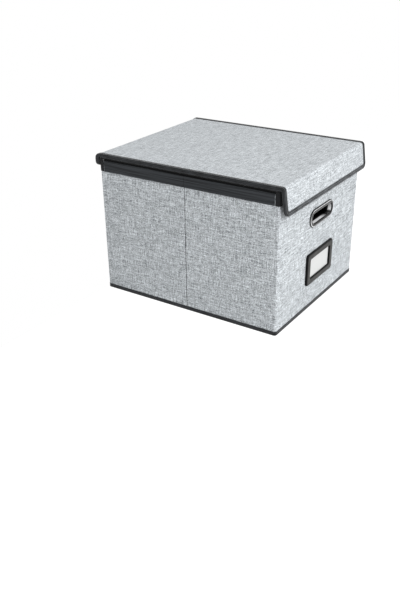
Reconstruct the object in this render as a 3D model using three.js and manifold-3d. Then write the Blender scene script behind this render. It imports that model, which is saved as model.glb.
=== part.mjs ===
// Collapsible linen file box with a hinged lid, in millimetres and with Z up.
// X runs along the box, the front is at -Y, the lid hinges along the -X end and its flap hangs
// over the +X end. The origin is the middle of the underside.
// Every wall is a cardboard panel wrapped in linen outside and lined inside. The two end walls
// are stiff and carry the handle grommets. Each long wall is creased at its middle.

import * as THREE from "three";
import { mergeVertices } from "three/addons/utils/BufferGeometryUtils.js";
import Module from "manifold-3d";

const wasm = await Module();
wasm.setup();

// Body
const bodyLength = 378.5;
const bodyWidth = 322.6;
const insideHeight = 259.1;
const endWall = 7.65;
const longWall = 3.8;
const endCornerRadius = 3.2;
const creaseEdgeRadius = 1.2;

// Sheet materials and the room between touching layers
const fabric = 0.7;
const tape = 0.8;
const clearance = 0.3;

// Base
const insertThickness = 4.8;
const baseTapeReach = 9;
const baseCornerRadius = 4;

// Rim rails on the long walls and rim trims on the end walls
const railHeight = 25;
const railInnerHeight = 12;
const railInnerThickness = 1.5;
const railBead = 1.1;
const railTop = 1;
const railShoulderDrop = 4.7;
const railRidgeSetback = 2.6;
const railCornerGap = 2;
const endTrimHeight = 25;
const endTrimWrap = 8.4;
const endTrimInnerHeight = 8;
const endTrimInnerSetback = 9;

// Handle grommets
const handleLength = 80;
const handleHeight = 18;
const handleCentreHeight = 179.5;
const grommetFlange = 8;
const grommetRise = 2.8;
const grommetInnerRise = 2.2;
const grommetBarrel = 1.1;
const grommetEdge = 0.7;

// Label holder and its card
const labelLength = 106;
const labelHeight = 62;
const labelCentreHeight = 83;
const labelRise = 4.6;
const labelBevel = 2.4;
const labelCornerRadius = 6;
const labelSideBorder = 13;
const labelTopBorder = 12;
const windowCornerRadius = 2;
const cardSideLap = 5;
const cardTopLap = 3.5;
const cardThickness = 0.6;

// Lid, its hinge strip and its flap
const lidThickness = 8;
const lidOverhang = 3;
const lidTapeReach = 8.6;
const lidLeftInset = 1;
const lidReach = 1;
const stripDrop = 24.3;
const stripHeight = 12;
const stripThickness = 8;
const hingeFoldThickness = 7;
const stripCornerRadius = 9;
const flapThickness = 5.8;
const flapDrop = 44.4;
const flapFlareDegrees = 8.5;
const flapCornerRadius = 12;
const flapTopGap = 0.6;

// Mesh quality
const roundSegments = 8;
const smallSegments = 3;
const overrun = 5;
const mergeTolerance = 1e-4;

// Levels and offsets that follow from the sizes above
const halfLength = bodyLength / 2;
const halfWidth = bodyWidth / 2;
const baseTop = tape + clearance + fabric + clearance + insertThickness;
const wallBottom = baseTop + clearance;
const rimTop = baseTop + insideHeight;
const wallTop = rimTop - railTop - clearance;
const railShoulder = rimTop - railShoulderDrop;
const longWallTop = railShoulder - tape - clearance;
const tapeProud = clearance + tape;
const lidUnder = rimTop + clearance;
const lidTop = lidUnder + lidThickness;
const lidPanelUnder = lidUnder + tapeProud;
const lidPanelTop = lidTop - tapeProud;
const lidHalfWidth = halfWidth + lidOverhang;
const lidPanelHalfWidth = lidHalfWidth - tapeProud;
const lidLeft = -halfLength + lidLeftInset;
const lidRight = halfLength + lidReach;

// Finishes
const finish = (color, roughness, metalness) =>
  new THREE.MeshStandardMaterial({ color, roughness, metalness });
const linen = finish(0xb8bcc0, 0.9, 0);
const binding = finish(0x33373a, 0.75, 0);
const lining = finish(0x4a4f53, 0.95, 0);
const cardboard = finish(0xa89272, 0.95, 0);
const railPlastic = finish(0x3b3f43, 0.55, 0);
const gunmetal = finish(0x3c3e40, 0.25, 0.9);
const blackPlastic = finish(0x2b2d2f, 0.4, 0);
const paper = finish(0xf2f2ee, 0.8, 0);

const model = new THREE.Group();

function addPiece(name, geometry, material, parent = model) {
  const mesh = new THREE.Mesh(geometry, material.clone());
  mesh.name = name;
  parent.add(mesh);
}

// Solids: closed meshes joined and cut

function toSolid(geometry) {
  const flat = geometry.index ? geometry.toNonIndexed() : geometry;
  const bare = new THREE.BufferGeometry();
  bare.setAttribute("position", flat.getAttribute("position"));
  const merged = mergeVertices(bare, mergeTolerance);
  const vertProperties = merged.getAttribute("position").array;
  const triVerts = new Uint32Array(merged.index.array);
  return new wasm.Manifold(new wasm.Mesh({ numProp: 3, vertProperties, triVerts }));
}

function toGeometry(solid) {
  const mesh = solid.getMesh();
  const geometry = new THREE.BufferGeometry();
  const position = new THREE.BufferAttribute(new Float32Array(mesh.vertProperties), 3);
  geometry.setAttribute("position", position);
  geometry.setIndex(new THREE.BufferAttribute(new Uint32Array(mesh.triVerts), 1));
  geometry.computeVertexNormals();
  return geometry;
}

function cut(geometry, ...tools) {
  return toGeometry(tools.reduce((left, tool) => left.subtract(toSolid(tool)), toSolid(geometry)));
}

function join(geometry, ...others) {
  return toGeometry(others.reduce((whole, other) => whole.add(toSolid(other)), toSolid(geometry)));
}

// Outlines

function polygon(points) {
  return new THREE.Shape(points.map(([x, y]) => new THREE.Vector2(x, y)));
}

function rectangle(x0, y0, x1, y1) {
  return polygon([[x0, y0], [x1, y0], [x1, y1], [x0, y1]]);
}

function roundedRectangle(halfX, halfY, radius) {
  const shape = new THREE.Shape();
  shape.absarc(halfX - radius, halfY - radius, radius, 0, Math.PI / 2);
  shape.absarc(-halfX + radius, halfY - radius, radius, Math.PI / 2, Math.PI);
  shape.absarc(-halfX + radius, -halfY + radius, radius, Math.PI, 1.5 * Math.PI);
  shape.absarc(halfX - radius, -halfY + radius, radius, 1.5 * Math.PI, 2 * Math.PI);
  return shape;
}

function stadium(length, height) {
  return roundedRectangle(length / 2, height / 2, height / 2);
}

// A tab that hangs from the line y = top, with its two lower corners rounded
function tab(halfX, top, bottom, radius) {
  const shape = new THREE.Shape();
  shape.moveTo(halfX, top);
  shape.lineTo(-halfX, top);
  shape.absarc(-halfX + radius, bottom + radius, radius, Math.PI, 1.5 * Math.PI);
  shape.absarc(halfX - radius, bottom + radius, radius, 1.5 * Math.PI, 2 * Math.PI);
  return shape;
}

// A slab seen from above whose two corners on the outer side, at y = outer, are rounded
function slabPlan(u0, u1, outer, inner, radius) {
  const shape = new THREE.Shape();
  shape.moveTo(u1, inner);
  shape.lineTo(u0, inner);
  shape.absarc(u0 + radius, outer + radius, radius, Math.PI, 1.5 * Math.PI);
  shape.absarc(u1 - radius, outer + radius, radius, 1.5 * Math.PI, 2 * Math.PI);
  return shape;
}

// The linen wrap of such a slab: outer sheet and two turned-in ends
function wrapPlan(u0, u1, outer, inner, radius) {
  const bend = radius - fabric;
  const shape = slabPlan(u0, u1, outer, inner, radius);
  shape.lineTo(u1, inner);
  shape.lineTo(u1 - fabric, inner);
  shape.absarc(u1 - fabric - bend, outer + fabric + bend, bend, 0, -Math.PI / 2, true);
  shape.absarc(u0 + fabric + bend, outer + fabric + bend, bend, -Math.PI / 2, -Math.PI, true);
  shape.lineTo(u0 + fabric, inner);
  shape.lineTo(u0, inner);
  return shape;
}

// Extrusions

function upright(shape, bottom, top, curveSegments = smallSegments) {
  const depth = top - bottom;
  const geometry = new THREE.ExtrudeGeometry(shape, { depth, bevelEnabled: false, curveSegments });
  return geometry.translate(0, 0, bottom);
}

// A section in (Y, Z) run along X
function alongX(shape, start, end, curveSegments = smallSegments) {
  const geometry = upright(shape, start, end, curveSegments);
  const x = new THREE.Vector3(1, 0, 0);
  const y = new THREE.Vector3(0, 1, 0);
  const z = new THREE.Vector3(0, 0, 1);
  return geometry.applyMatrix4(new THREE.Matrix4().makeBasis(y, z, x));
}

// A section in (X, Z) run along Y
function alongY(shape, start, end, curveSegments = roundSegments) {
  const geometry = upright(shape, -end, -start, curveSegments);
  return geometry.rotateX(Math.PI / 2);
}

// Wall panels, built facing -Y and turned to their side by a group

function wallFrame(turn) {
  const frame = new THREE.Group();
  frame.rotation.z = turn;
  model.add(frame);
  return frame;
}

function addWallPanel(name, frame, u0, u1, outerDistance, thickness, radius, top, hole) {
  const outer = -outerDistance;
  const inner = outer + thickness;
  const inset = fabric + clearance;
  const coverPlan = wrapPlan(u0, u1, outer, inner, radius);
  const boardRadius = radius - inset;
  const boardPlan = slabPlan(u0 + inset, u1 - inset, outer + inset, inner - inset, boardRadius);
  const liningPlan = rectangle(u0 + inset, inner - fabric, u1 - inset, inner);
  const layers = [
    ["cover", coverPlan, linen],
    ["board", boardPlan, cardboard],
    ["lining", liningPlan, lining],
  ];
  for (const [layer, plan, material] of layers) {
    const sheet = upright(plan, wallBottom, top);
    const finished = hole ? cut(sheet, hole(outer, inner)) : sheet;
    addPiece(`${name}_${layer}`, finished, material, frame);
  }
}

// Base: bound linen bottom and the loose stiffening insert

function baseOutline(offset) {
  const radius = Math.max(baseCornerRadius + offset, fabric);
  return roundedRectangle(halfLength + offset, halfWidth + offset, radius);
}

function addBase() {
  const ring = upright(baseOutline(tapeProud), 0, baseTop);
  const hollow = upright(baseOutline(clearance), tape, baseTop + overrun);
  const window = upright(baseOutline(tapeProud - baseTapeReach), -overrun, baseTop);
  addPiece("base_binding", cut(ring, hollow, window), binding);

  const skinTop = tape + clearance + fabric;
  const plate = upright(baseOutline(0), tape + clearance, skinTop);
  const middle = upright(baseOutline(tapeProud - baseTapeReach - clearance), 0, skinTop);
  addPiece("base_skin", join(plate, middle), linen);

  const insertX = halfLength - endWall - clearance;
  const insertY = halfWidth - longWall - clearance;
  const under = skinTop + clearance;
  const wrap = upright(rectangle(-insertX, -insertY, insertX, insertY), under, baseTop);
  const boardX = insertX - fabric;
  const boardY = insertY - fabric;
  const room = rectangle(-boardX, -boardY, boardX, boardY);
  addPiece("insert_cover", cut(wrap, upright(room, under - overrun, baseTop - fabric)), lining);
  const innerX = boardX - clearance;
  const innerY = boardY - clearance;
  const board = rectangle(-innerX, -innerY, innerX, innerY);
  addPiece("insert_board", upright(board, under, baseTop - fabric - clearance), cardboard);
}

// Long walls: two halves each, creased at the middle

// The rail's outer leg ends in a shoulder under the lid's edge, and a narrow ridge stands on it
function railSection(outerDistance, innerDistance) {
  const outside = -outerDistance - tapeProud;
  const inside = -innerDistance + clearance + railInnerThickness;
  const beadBottom = rimTop - railInnerHeight;
  const ridge = outside + railRidgeSetback;
  return polygon([
    [outside, rimTop - railHeight],
    [outside + tape, rimTop - railHeight],
    [outside + tape, railShoulder - tape],
    [inside - railInnerThickness, railShoulder - tape],
    [inside - railInnerThickness, beadBottom],
    [inside, beadBottom],
    [inside, rimTop - railTop],
    [inside - railBead / 2, rimTop],
    [ridge + tape / 2, rimTop],
    [ridge, rimTop - tape / 2],
    [ridge, railShoulder],
    [outside + tape / 2, railShoulder],
    [outside, railShoulder - tape / 2],
  ]);
}

function addLongWallHalf(name, frame, side) {
  const corner = side * (halfLength - endWall - clearance);
  const crease = side * clearance;
  const u0 = Math.min(corner, crease);
  const u1 = Math.max(corner, crease);
  addWallPanel(name, frame, u0, u1, halfWidth, longWall, creaseEdgeRadius, longWallTop, null);

  const railCorner = corner - side * railCornerGap;
  const start = Math.min(railCorner, crease);
  const end = Math.max(railCorner, crease);
  const section = railSection(halfWidth, halfWidth - longWall);
  addPiece(`${name}_rail`, alongX(section, start, end), railPlastic, frame);
}

function addLongWalls() {
  const front = wallFrame(0);
  addLongWallHalf("front_left", front, -1);
  addLongWallHalf("front_right", front, 1);
  const back = wallFrame(Math.PI);
  addLongWallHalf("back_right", back, -1);
  addLongWallHalf("back_left", back, 1);
}

// Handle grommets: a section swept round the oblong opening

function sweepRoundOpening(section) {
  const radius = handleHeight / 2;
  const reach = handleLength / 2 - radius;
  const positions = [];
  const rows = [];
  for (const side of [1, -1]) {
    for (let step = 0; step <= roundSegments; step += 1) {
      const angle = Math.PI / 2 * (1 - 2 * step / roundSegments);
      const outward = side > 0 ? angle : Math.PI + angle;
      rows.push({ middle: side * reach, x: Math.cos(outward), z: Math.sin(outward) });
    }
  }
  for (const row of rows) {
    for (const [away, y] of section) {
      const distance = radius + away;
      positions.push(row.middle + distance * row.x, y, handleCentreHeight + distance * row.z);
    }
  }
  const count = section.length;
  const index = [];
  for (let r = 0; r < rows.length; r += 1) {
    for (let s = 0; s < count; s += 1) {
      const a = r * count + s;
      const b = r * count + (s + 1) % count;
      const c = ((r + 1) % rows.length) * count + s;
      const d = ((r + 1) % rows.length) * count + (s + 1) % count;
      index.push(a, c, b, b, c, d);
    }
  }
  const geometry = new THREE.BufferGeometry();
  geometry.setAttribute("position", new THREE.Float32BufferAttribute(positions, 3));
  geometry.setIndex(index);
  geometry.computeVertexNormals();
  return geometry;
}

// The rounded face of a flange, from its opening side to its rim, standing off by way
function crown(first, last, seat, way, rise) {
  const points = [];
  for (let step = 0; step <= roundSegments; step += 1) {
    const angle = Math.PI * (1 - step / roundSegments);
    const across = (1 + Math.cos(angle)) / 2;
    const lift = grommetEdge + (rise - grommetEdge) * Math.sin(angle);
    points.push([first + (last - first) * across, seat + way * lift]);
  }
  return points;
}

function addGrommet(name, frame, outer, inner) {
  const seat = outer - clearance;
  const innerSeat = inner + clearance;
  const barrelEnd = innerSeat + grommetEdge;
  const outerSection = [
    [0, barrelEnd],
    ...crown(0, grommetFlange, seat, -1, grommetRise),
    [grommetFlange, seat],
    [grommetBarrel, seat],
    [grommetBarrel, barrelEnd],
  ];
  addPiece(`${name}_handle_outer`, sweepRoundOpening(outerSection), gunmetal, frame);

  const start = grommetBarrel + clearance;
  const innerSection = [
    [start, innerSeat],
    [grommetFlange, innerSeat],
    ...crown(start, grommetFlange, innerSeat, 1, grommetInnerRise).reverse(),
  ];
  addPiece(`${name}_handle_inner`, sweepRoundOpening(innerSection), gunmetal, frame);
}

function handleHole(outer, inner) {
  const growth = 2 * (grommetBarrel + clearance);
  const outline = stadium(handleLength + growth, handleHeight + growth);
  const plug = alongY(outline, outer - overrun, inner + overrun);
  return plug.translate(0, 0, handleCentreHeight);
}

// End walls: stiff panel, rim trim and two-part handle grommet

// Folded tape over the rim. Outside it wraps round the wall's two ends, beside the rails.
function addEndTrim(name, frame, outer, inner) {
  const bottom = rimTop - endTrimHeight;
  const wrapEnd = outer + endTrimWrap;
  const outside = halfWidth + tapeProud;
  const within = halfWidth + clearance;
  const face = outer - tapeProud;
  const back = outer - clearance;
  const outsidePlan = slabPlan(-outside, outside, face, wrapEnd, endCornerRadius + tapeProud);
  const roomEnd = wrapEnd + overrun;
  const roomPlan = slabPlan(-within, within, back, roomEnd, endCornerRadius + clearance);
  const block = upright(outsidePlan, bottom, rimTop, roundSegments);
  const room = upright(roomPlan, bottom - overrun, rimTop - tape, roundSegments);

  const inside = inner + tapeProud;
  const innerBottom = rimTop - endTrimInnerHeight;
  const innerHook = polygon([
    [outer, rimTop - tape],
    [inside - tape, rimTop - tape],
    [inside - tape, innerBottom],
    [inside, innerBottom],
    [inside, rimTop - tape / 2],
    [inside - tape / 2, rimTop],
    [outer, rimTop],
  ]);
  const innerHalf = halfWidth - endTrimInnerSetback;
  const innerLeg = alongX(innerHook, -innerHalf, innerHalf);
  addPiece(`${name}_rim_trim`, join(cut(block, room), innerLeg), binding, frame);
}

function addEndWall(name, turn) {
  const frame = wallFrame(turn);
  const outer = -halfLength;
  const inner = outer + endWall;
  const u0 = -halfWidth;
  const u1 = halfWidth;
  addWallPanel(name, frame, u0, u1, halfLength, endWall, endCornerRadius, wallTop, handleHole);
  addEndTrim(name, frame, outer, inner);
  addGrommet(name, frame, outer, inner);
  return frame;
}

// Label holder: bevelled frame with a pocket behind its window, open at one end for the card

function addLabelHolder(frame) {
  const face = -halfLength - clearance;
  const windowX = labelLength / 2 - labelSideBorder;
  const windowZ = labelHeight / 2 - labelTopBorder;
  const outline = roundedRectangle(
    labelLength / 2 - labelBevel,
    labelHeight / 2 - labelBevel,
    labelCornerRadius - labelBevel,
  );
  const windowRadius = windowCornerRadius + labelBevel;
  const wideX = windowX + labelBevel;
  const wideZ = windowZ + labelBevel;
  outline.holes.push(roundedRectangle(wideX, wideZ, windowRadius));
  const frameSolid = new THREE.ExtrudeGeometry(outline, {
    depth: labelRise,
    bevelThickness: labelBevel,
    bevelSize: labelBevel,
    bevelSegments: smallSegments,
    curveSegments: smallSegments,
  });
  frameSolid.rotateX(Math.PI / 2);
  frameSolid.translate(0, face + labelBevel, labelCentreHeight);

  const behind = rectangle(-labelLength, -labelHeight, labelLength, labelHeight);
  const planed = alongY(behind, face, face + labelRise + overrun);
  planed.translate(0, 0, labelCentreHeight);
  const cardX = windowX + cardSideLap;
  const cardZ = windowZ + cardTopLap;
  const pocketDepth = cardThickness + 2 * clearance;
  const pocketX = cardX + clearance;
  const pocketZ = cardZ + clearance;
  const pocketOutline = rectangle(-pocketX, -pocketZ, labelLength, pocketZ);
  const pocket = alongY(pocketOutline, face - pocketDepth, face + overrun);
  pocket.translate(0, 0, labelCentreHeight);
  addPiece("label_frame", cut(frameSolid, planed, pocket), blackPlastic, frame);

  const cardBack = face - clearance;
  const cardOutline = rectangle(-cardX, -cardZ, cardX, cardZ);
  const card = alongY(cardOutline, cardBack - cardThickness, cardBack);
  addPiece("label_card", card.translate(0, 0, labelCentreHeight), paper, frame);
}

// Lid: panel, edge bindings, hinge strip behind and flap in front

// A binding tape folded over one long edge of the lid, seen in section from the end
function lidBindingSection(side) {
  const edge = side * lidHalfWidth;
  const lip = edge - side * lidTapeReach;
  const wall = edge - side * tape;
  const points = [
    [lip, lidTop],
    [edge - side * tape / 2, lidTop],
    [edge, lidTop - tape / 2],
    [edge, lidUnder + tape / 2],
    [edge - side * tape / 2, lidUnder],
    [lip, lidUnder],
    [lip, lidUnder + tape],
    [wall, lidUnder + tape],
    [wall, lidTop - tape],
    [lip, lidTop - tape],
  ];
  return polygon(side > 0 ? points.reverse() : points);
}

function addLid() {
  const wide = lidPanelHalfWidth;
  const inset = fabric + clearance;
  const outline = rectangle(lidLeft, -wide, lidRight, wide);
  const room = rectangle(lidLeft + fabric, -wide + fabric, lidRight - fabric, wide - fabric);
  const wrap = upright(outline, lidPanelUnder, lidPanelTop);
  const hollow = upright(room, lidPanelUnder - overrun, lidPanelTop - fabric);
  addPiece("lid_cover", cut(wrap, hollow), linen);
  const filling = rectangle(lidLeft + inset, -wide + inset, lidRight - inset, wide - inset);
  const board = upright(filling, lidPanelUnder + inset, lidPanelTop - inset);
  addPiece("lid_board", board, cardboard);
  const sheet = upright(filling, lidPanelUnder, lidPanelUnder + fabric);
  addPiece("lid_lining", sheet, lining);
  addPiece("lid_binding_front", alongX(lidBindingSection(-1), lidLeft, lidRight), binding);
  addPiece("lid_binding_back", alongX(lidBindingSection(1), lidLeft, lidRight), binding);
}

// A hanging tab of cloth or board with a binding tape round its free edge.
// It is built facing -Y with its top line at height top, and back is its hidden face.
function boundTab(halfX, top, bottom, radius, reach, back, thickness) {
  const front = back - thickness;
  const outer = tab(halfX, top, bottom, radius);
  const slotHalf = halfX - tape;
  const slotTop = top + overrun;
  const slot = tab(slotHalf, slotTop, bottom + tape, radius - tape);
  const openRadius = Math.max(radius - reach, tape);
  const opening = tab(halfX - reach, slotTop, bottom + reach, openRadius);
  const round = roundSegments;
  const body = alongY(outer, front, back, round);
  const room = alongY(slot, front + tape, back - tape, round);
  const window = alongY(opening, front - overrun, back + overrun, round);
  return cut(body, room, window);
}

function addHingeStrip(frame) {
  const back = -halfLength - tapeProud - clearance;
  const bottom = lidTop - stripDrop;
  const top = bottom + stripHeight;
  const radius = stripCornerRadius;
  const edge = boundTab(lidHalfWidth, top, bottom, radius, lidTapeReach, back, stripThickness);
  addPiece("hinge_strip_binding", edge, binding, frame);
  const sheetRadius = radius - tapeProud;
  const outline = tab(lidPanelHalfWidth, top, bottom + tapeProud, sheetRadius);
  const face = back - stripThickness + tapeProud;
  const padding = alongY(outline, face, back - tapeProud);
  addPiece("hinge_strip", padding, linen, frame);
  addHingeFold(face, top + clearance);
}

// The lid's cloth where it bends from the hinge strip over the top of the left end wall
function bendSection(centreX, centreZ, outerRadius, innerRadius, bottom) {
  const shape = new THREE.Shape();
  shape.moveTo(centreX - outerRadius, bottom);
  shape.lineTo(centreX - innerRadius, bottom);
  shape.absarc(centreX, centreZ, innerRadius, Math.PI, Math.PI / 2, true);
  shape.absarc(centreX, centreZ, outerRadius, Math.PI / 2, Math.PI);
  return shape;
}

function addHingeFold(clothOuter, bottom) {
  const centreX = lidLeft - clearance;
  const clothRadius = centreX - clothOuter;
  const centreZ = lidPanelTop - clothRadius;
  const cloth = bendSection(centreX, centreZ, clothRadius, clothRadius - fabric, bottom);
  const edgeRadius = clothRadius + tapeProud;
  const edgeInner = edgeRadius - hingeFoldThickness;
  const edge = bendSection(centreX, centreZ, edgeRadius, edgeInner, bottom);
  const lip = lidHalfWidth - lidTapeReach;
  const fold = join(
    alongY(cloth, -lidPanelHalfWidth, lidPanelHalfWidth),
    alongY(edge, -lidHalfWidth, -lip),
    alongY(edge, lip, lidHalfWidth),
  );
  addPiece("lid_hinge_fold", fold, linen);
}

// The flap hangs from the soft crease at the lid's right end, flared a little off the wall
function addFlap() {
  const creaseX = lidRight + clearance;
  const creaseZ = lidPanelUnder;
  const reach = lidTop - creaseZ;
  const back = reach - flapThickness;
  const crease = new THREE.Group();
  crease.position.set(creaseX, 0, creaseZ);
  crease.rotation.y = -THREE.MathUtils.degToRad(flapFlareDegrees);
  model.add(crease);
  const facing = new THREE.Group();
  facing.rotation.z = Math.PI / 2;
  crease.add(facing);

  const top = -flapTopGap;
  const bottom = -flapDrop;
  const radius = flapCornerRadius;
  const stack = flapThickness;
  const edge = boundTab(lidHalfWidth, top, bottom, radius, lidTapeReach, -back, stack);
  addPiece("flap_binding", edge, binding, facing);

  const face = -reach + tapeProud;
  const rear = -back - tapeProud;
  const inset = fabric + clearance;
  const panelBottom = bottom + tapeProud;
  const panelRadius = radius - tapeProud;
  const tabAt = (shrink, from, to) => {
    const halfX = lidPanelHalfWidth - shrink;
    const outline = tab(halfX, top - shrink, panelBottom + shrink, panelRadius - shrink);
    return alongY(outline, from, to);
  };
  const wrap = tabAt(0, face, rear);
  const hollow = tabAt(fabric, face + fabric, rear + overrun);
  addPiece("flap_cover", cut(wrap, hollow), linen, facing);
  addPiece("flap_board", tabAt(inset, face + inset, rear - inset), cardboard, facing);
  addPiece("flap_lining", tabAt(inset, rear - fabric, rear), lining, facing);
  addFlapFold(creaseX, creaseZ, reach);
}

// The cloth of the soft crease: a quarter round from the lid's top to the flap's face
function creaseSection(centreX, centreZ, outerRadius, innerRadius) {
  const lowest = THREE.MathUtils.degToRad(flapFlareDegrees);
  const shape = new THREE.Shape();
  shape.absarc(centreX, centreZ, outerRadius, lowest, Math.PI / 2);
  shape.absarc(centreX, centreZ, innerRadius, Math.PI / 2, lowest, true);
  return shape;
}

function addFlapFold(centreX, centreZ, reach) {
  const clothRadius = reach - tapeProud;
  const cloth = creaseSection(centreX, centreZ, clothRadius, clothRadius - fabric);
  const edge = creaseSection(centreX, centreZ, reach, clothRadius - fabric - tapeProud);
  const lip = lidHalfWidth - lidTapeReach;
  const fold = join(
    alongY(cloth, -lidPanelHalfWidth, lidPanelHalfWidth),
    alongY(edge, -lidHalfWidth, -lip),
    alongY(edge, lip, lidHalfWidth),
  );
  addPiece("flap_fold", fold, linen);
}

addBase();
addLongWalls();
const leftFrame = addEndWall("left", -Math.PI / 2);
addHingeStrip(leftFrame);
const rightFrame = addEndWall("right", Math.PI / 2);
addLabelHolder(rightFrame);
addLid();
addFlap();

export default model;
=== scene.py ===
# A grey linen file box: folding walls with a hanging rail, a taped lid with its flap,
# two oblong handle grommets and a label holder. Lengths are in metres.
import math

import bpy
import numpy as np
from mathutils import Matrix, Vector


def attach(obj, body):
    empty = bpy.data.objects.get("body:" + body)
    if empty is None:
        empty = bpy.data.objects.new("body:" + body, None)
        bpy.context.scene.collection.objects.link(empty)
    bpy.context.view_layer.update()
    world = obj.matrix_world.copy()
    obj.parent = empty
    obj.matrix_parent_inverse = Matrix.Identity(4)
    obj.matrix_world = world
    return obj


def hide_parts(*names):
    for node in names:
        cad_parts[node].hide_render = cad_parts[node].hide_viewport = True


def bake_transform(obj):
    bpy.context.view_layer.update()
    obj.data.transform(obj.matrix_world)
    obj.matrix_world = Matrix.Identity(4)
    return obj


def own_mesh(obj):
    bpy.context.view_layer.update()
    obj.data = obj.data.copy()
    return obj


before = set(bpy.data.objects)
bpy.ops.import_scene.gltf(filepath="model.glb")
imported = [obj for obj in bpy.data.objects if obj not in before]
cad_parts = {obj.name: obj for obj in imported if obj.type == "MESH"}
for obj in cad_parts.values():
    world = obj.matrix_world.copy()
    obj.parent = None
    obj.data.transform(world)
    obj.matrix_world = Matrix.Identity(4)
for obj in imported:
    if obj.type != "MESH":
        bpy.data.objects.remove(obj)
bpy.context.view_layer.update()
scene = bpy.context.scene

# Sizes that the frame's pieces have
HALF_LENGTH = 0.18925
HALF_WIDTH = 0.1613
END_WALL = 0.00765
LONG_WALL = 0.0038
WALL_FOOT = 0.0072
WALL_HEAD = 0.2647
LONG_WALL_HEAD = 0.2602
RIM_TOP = 0.266
INNER_HALF_LENGTH = HALF_LENGTH - END_WALL
INNER_HALF_WIDTH = HALF_WIDTH - LONG_WALL
CORNER_RADIUS = 0.0032
INNER_CORNER_RADIUS = 0.0010
CLOTH = 0.0007
TAPE_PROUD = 0.0011

HANDLE_LENGTH = 0.080
HANDLE_HEIGHT = 0.018
HANDLE_LEVEL = 0.1795
FLANGE = 0.008
FLANGE_RISE = 0.0028
INNER_FLANGE_RISE = 0.0022
FLANGE_EDGE = 0.0007
BARREL = 0.0011
BARREL_ROUNDING = 0.00012
BARREL_LIP = 0.0003
SEAT_GAP = 0.0003
CROWN_STEPS = 25
CROWN_FULLNESS = 0.8

# The label holder's outside and its window: half length, half height and corner radius
LABEL_OUTSIDE = (0.053, 0.031, 0.006)
LABEL_WINDOW = (0.040, 0.019, 0.002)
LABEL_LEVEL = 0.083
LABEL_BEVEL = 0.0024
LABEL_RISE = 0.0046
LABEL_FACE = HALF_LENGTH + SEAT_GAP + LABEL_RISE
POCKET_SIDE = 0.0453
POCKET_OPEN_END = 0.08
POCKET_HEIGHT = 0.0228
POCKET_DEPTH = 0.0012
POCKET_START = 0.001

LID_PANEL_TOP = 0.2732
LID_PANEL_UNDER = 0.2674
LID_THICKNESS = 0.008
LID_LEFT = -0.18825
LID_HALF_WIDTH = 0.1643
LID_CLOTH_HALF_WIDTH = 0.1632
STRIP_X = -0.19755
STRIP_BOTTOM = 0.2500
STRIP_CORNER = 0.009
STRIP_THICKNESS = 0.0078
HINGE_RADIUS = 0.0090
HINGE_THICKNESS = 0.0070
CREASE_X = 0.19055
CREASE_Z = 0.2674
CREASE_RADIUS = 0.0058
FLAP_DROP = 0.0444
FLAP_FLARE = math.radians(8.5)
FLAP_CORNER = 0.012
FLAP_TAPE_THICKNESS = 0.0058 - 0.0001
FLAP_BACK = 0.0022
# The lid's lining starts this far under the lid's top, and its two bends have these radii
LINING_DROP = 0.0009
LINING_RADII = [0.0015, 0.0012]

# How finely the pieces are divided, and where the walls' cloth is parted and bends
CLOTH_STEP = 0.0045
TAPE_STEP = 0.006
INSERT_STEP = 0.006
BASE_STEP = 0.008
FINEST_STEP = 0.00012
LID_COLUMNS = 74
LINING_COLUMNS = 60
SHARP_ANGLE = math.radians(38)
WALL_SEAM = 0.1755
CORNER_BLEND = 0.1835
CORNER_SEAM_Y = 0.150
INNER_SEAM = 0.174
INNER_BLEND = 0.005
CREASE_BLEND = 0.0022
BLEND_LEVEL = 0.13
# The walls' cloth gets higher this far in from the end walls' boards, between a mark on each side
HEAD_STEP = 0.0004
HEAD_STEP_MARKS = (0.00055, 0.00035)
# The slit at the open corner of the walls, in the cover and in the lining
COVER_SLIT = 0.0003
LINING_SLIT = 0.0013
# The cloth's hole round a handle: how much larger it is, and the finer steps near it
HOLE_GROWTH = 0.0013
HOLE_STEP = 0.002
HOLE_REACH = (0.05, 0.02)

# Depth and width of the pressed creases, and of the grooves over the board's edges
CREASE_DENT = (0.0009, 0.0009)
GROOVE_DENT = (0.00045, 0.0007)
GROOVE_MARKS = (-0.001, 0, 0.001)

CAMERA_TARGET = Vector((0.0, 0.0, 0.137))
CAMERA_AZIMUTH = math.radians(31.301)
CAMERA_ELEVATION = math.radians(20.651)
CAMERA_DISTANCE = 1.461063
CAMERA_YAW = math.radians(-2.45)
CAMERA_PITCH = math.radians(-6.554)
CAMERA_ROLL = math.radians(-0.853)
FOCAL_PIXELS = 736.234
PHOTO_HEIGHT_PIXELS = 600
SENSOR = 36.0
UP = Vector((0, 0, 1))


def add_object(name, data, matrix=None):
    made = bpy.data.objects.new(name, data)
    if matrix:
        made.matrix_world = matrix
    bpy.context.collection.objects.link(made)
    return made


def make_camera():
    level = math.cos(CAMERA_ELEVATION)
    back = Vector((
        math.sin(CAMERA_AZIMUTH) * level, -math.cos(CAMERA_AZIMUTH) * level, math.sin(CAMERA_ELEVATION),
    ))
    right = (-back).cross(UP).normalized()
    up = right.cross(-back)
    ahead = (-back + math.tan(CAMERA_YAW) * right + math.tan(CAMERA_PITCH) * up).normalized()
    right = ahead.cross(UP).normalized()
    up = right.cross(ahead)
    cosine, sine = math.cos(CAMERA_ROLL), math.sin(CAMERA_ROLL)
    right, up = cosine * right + sine * up, cosine * up - sine * right
    data = bpy.data.cameras.new("camera")
    data.sensor_width = SENSOR
    data.lens = FOCAL_PIXELS * SENSOR / PHOTO_HEIGHT_PIXELS
    data.clip_start = 0.01
    turn = Matrix((right, up, -ahead)).transposed().to_4x4()
    matrix = Matrix.Translation(CAMERA_TARGET + CAMERA_DISTANCE * back) @ turn
    scene.camera = add_object("camera", data, matrix)


# Node helpers


def new_tree(owner):
    owner.use_nodes = True
    owner.node_tree.nodes.clear()
    return owner.node_tree


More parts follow.
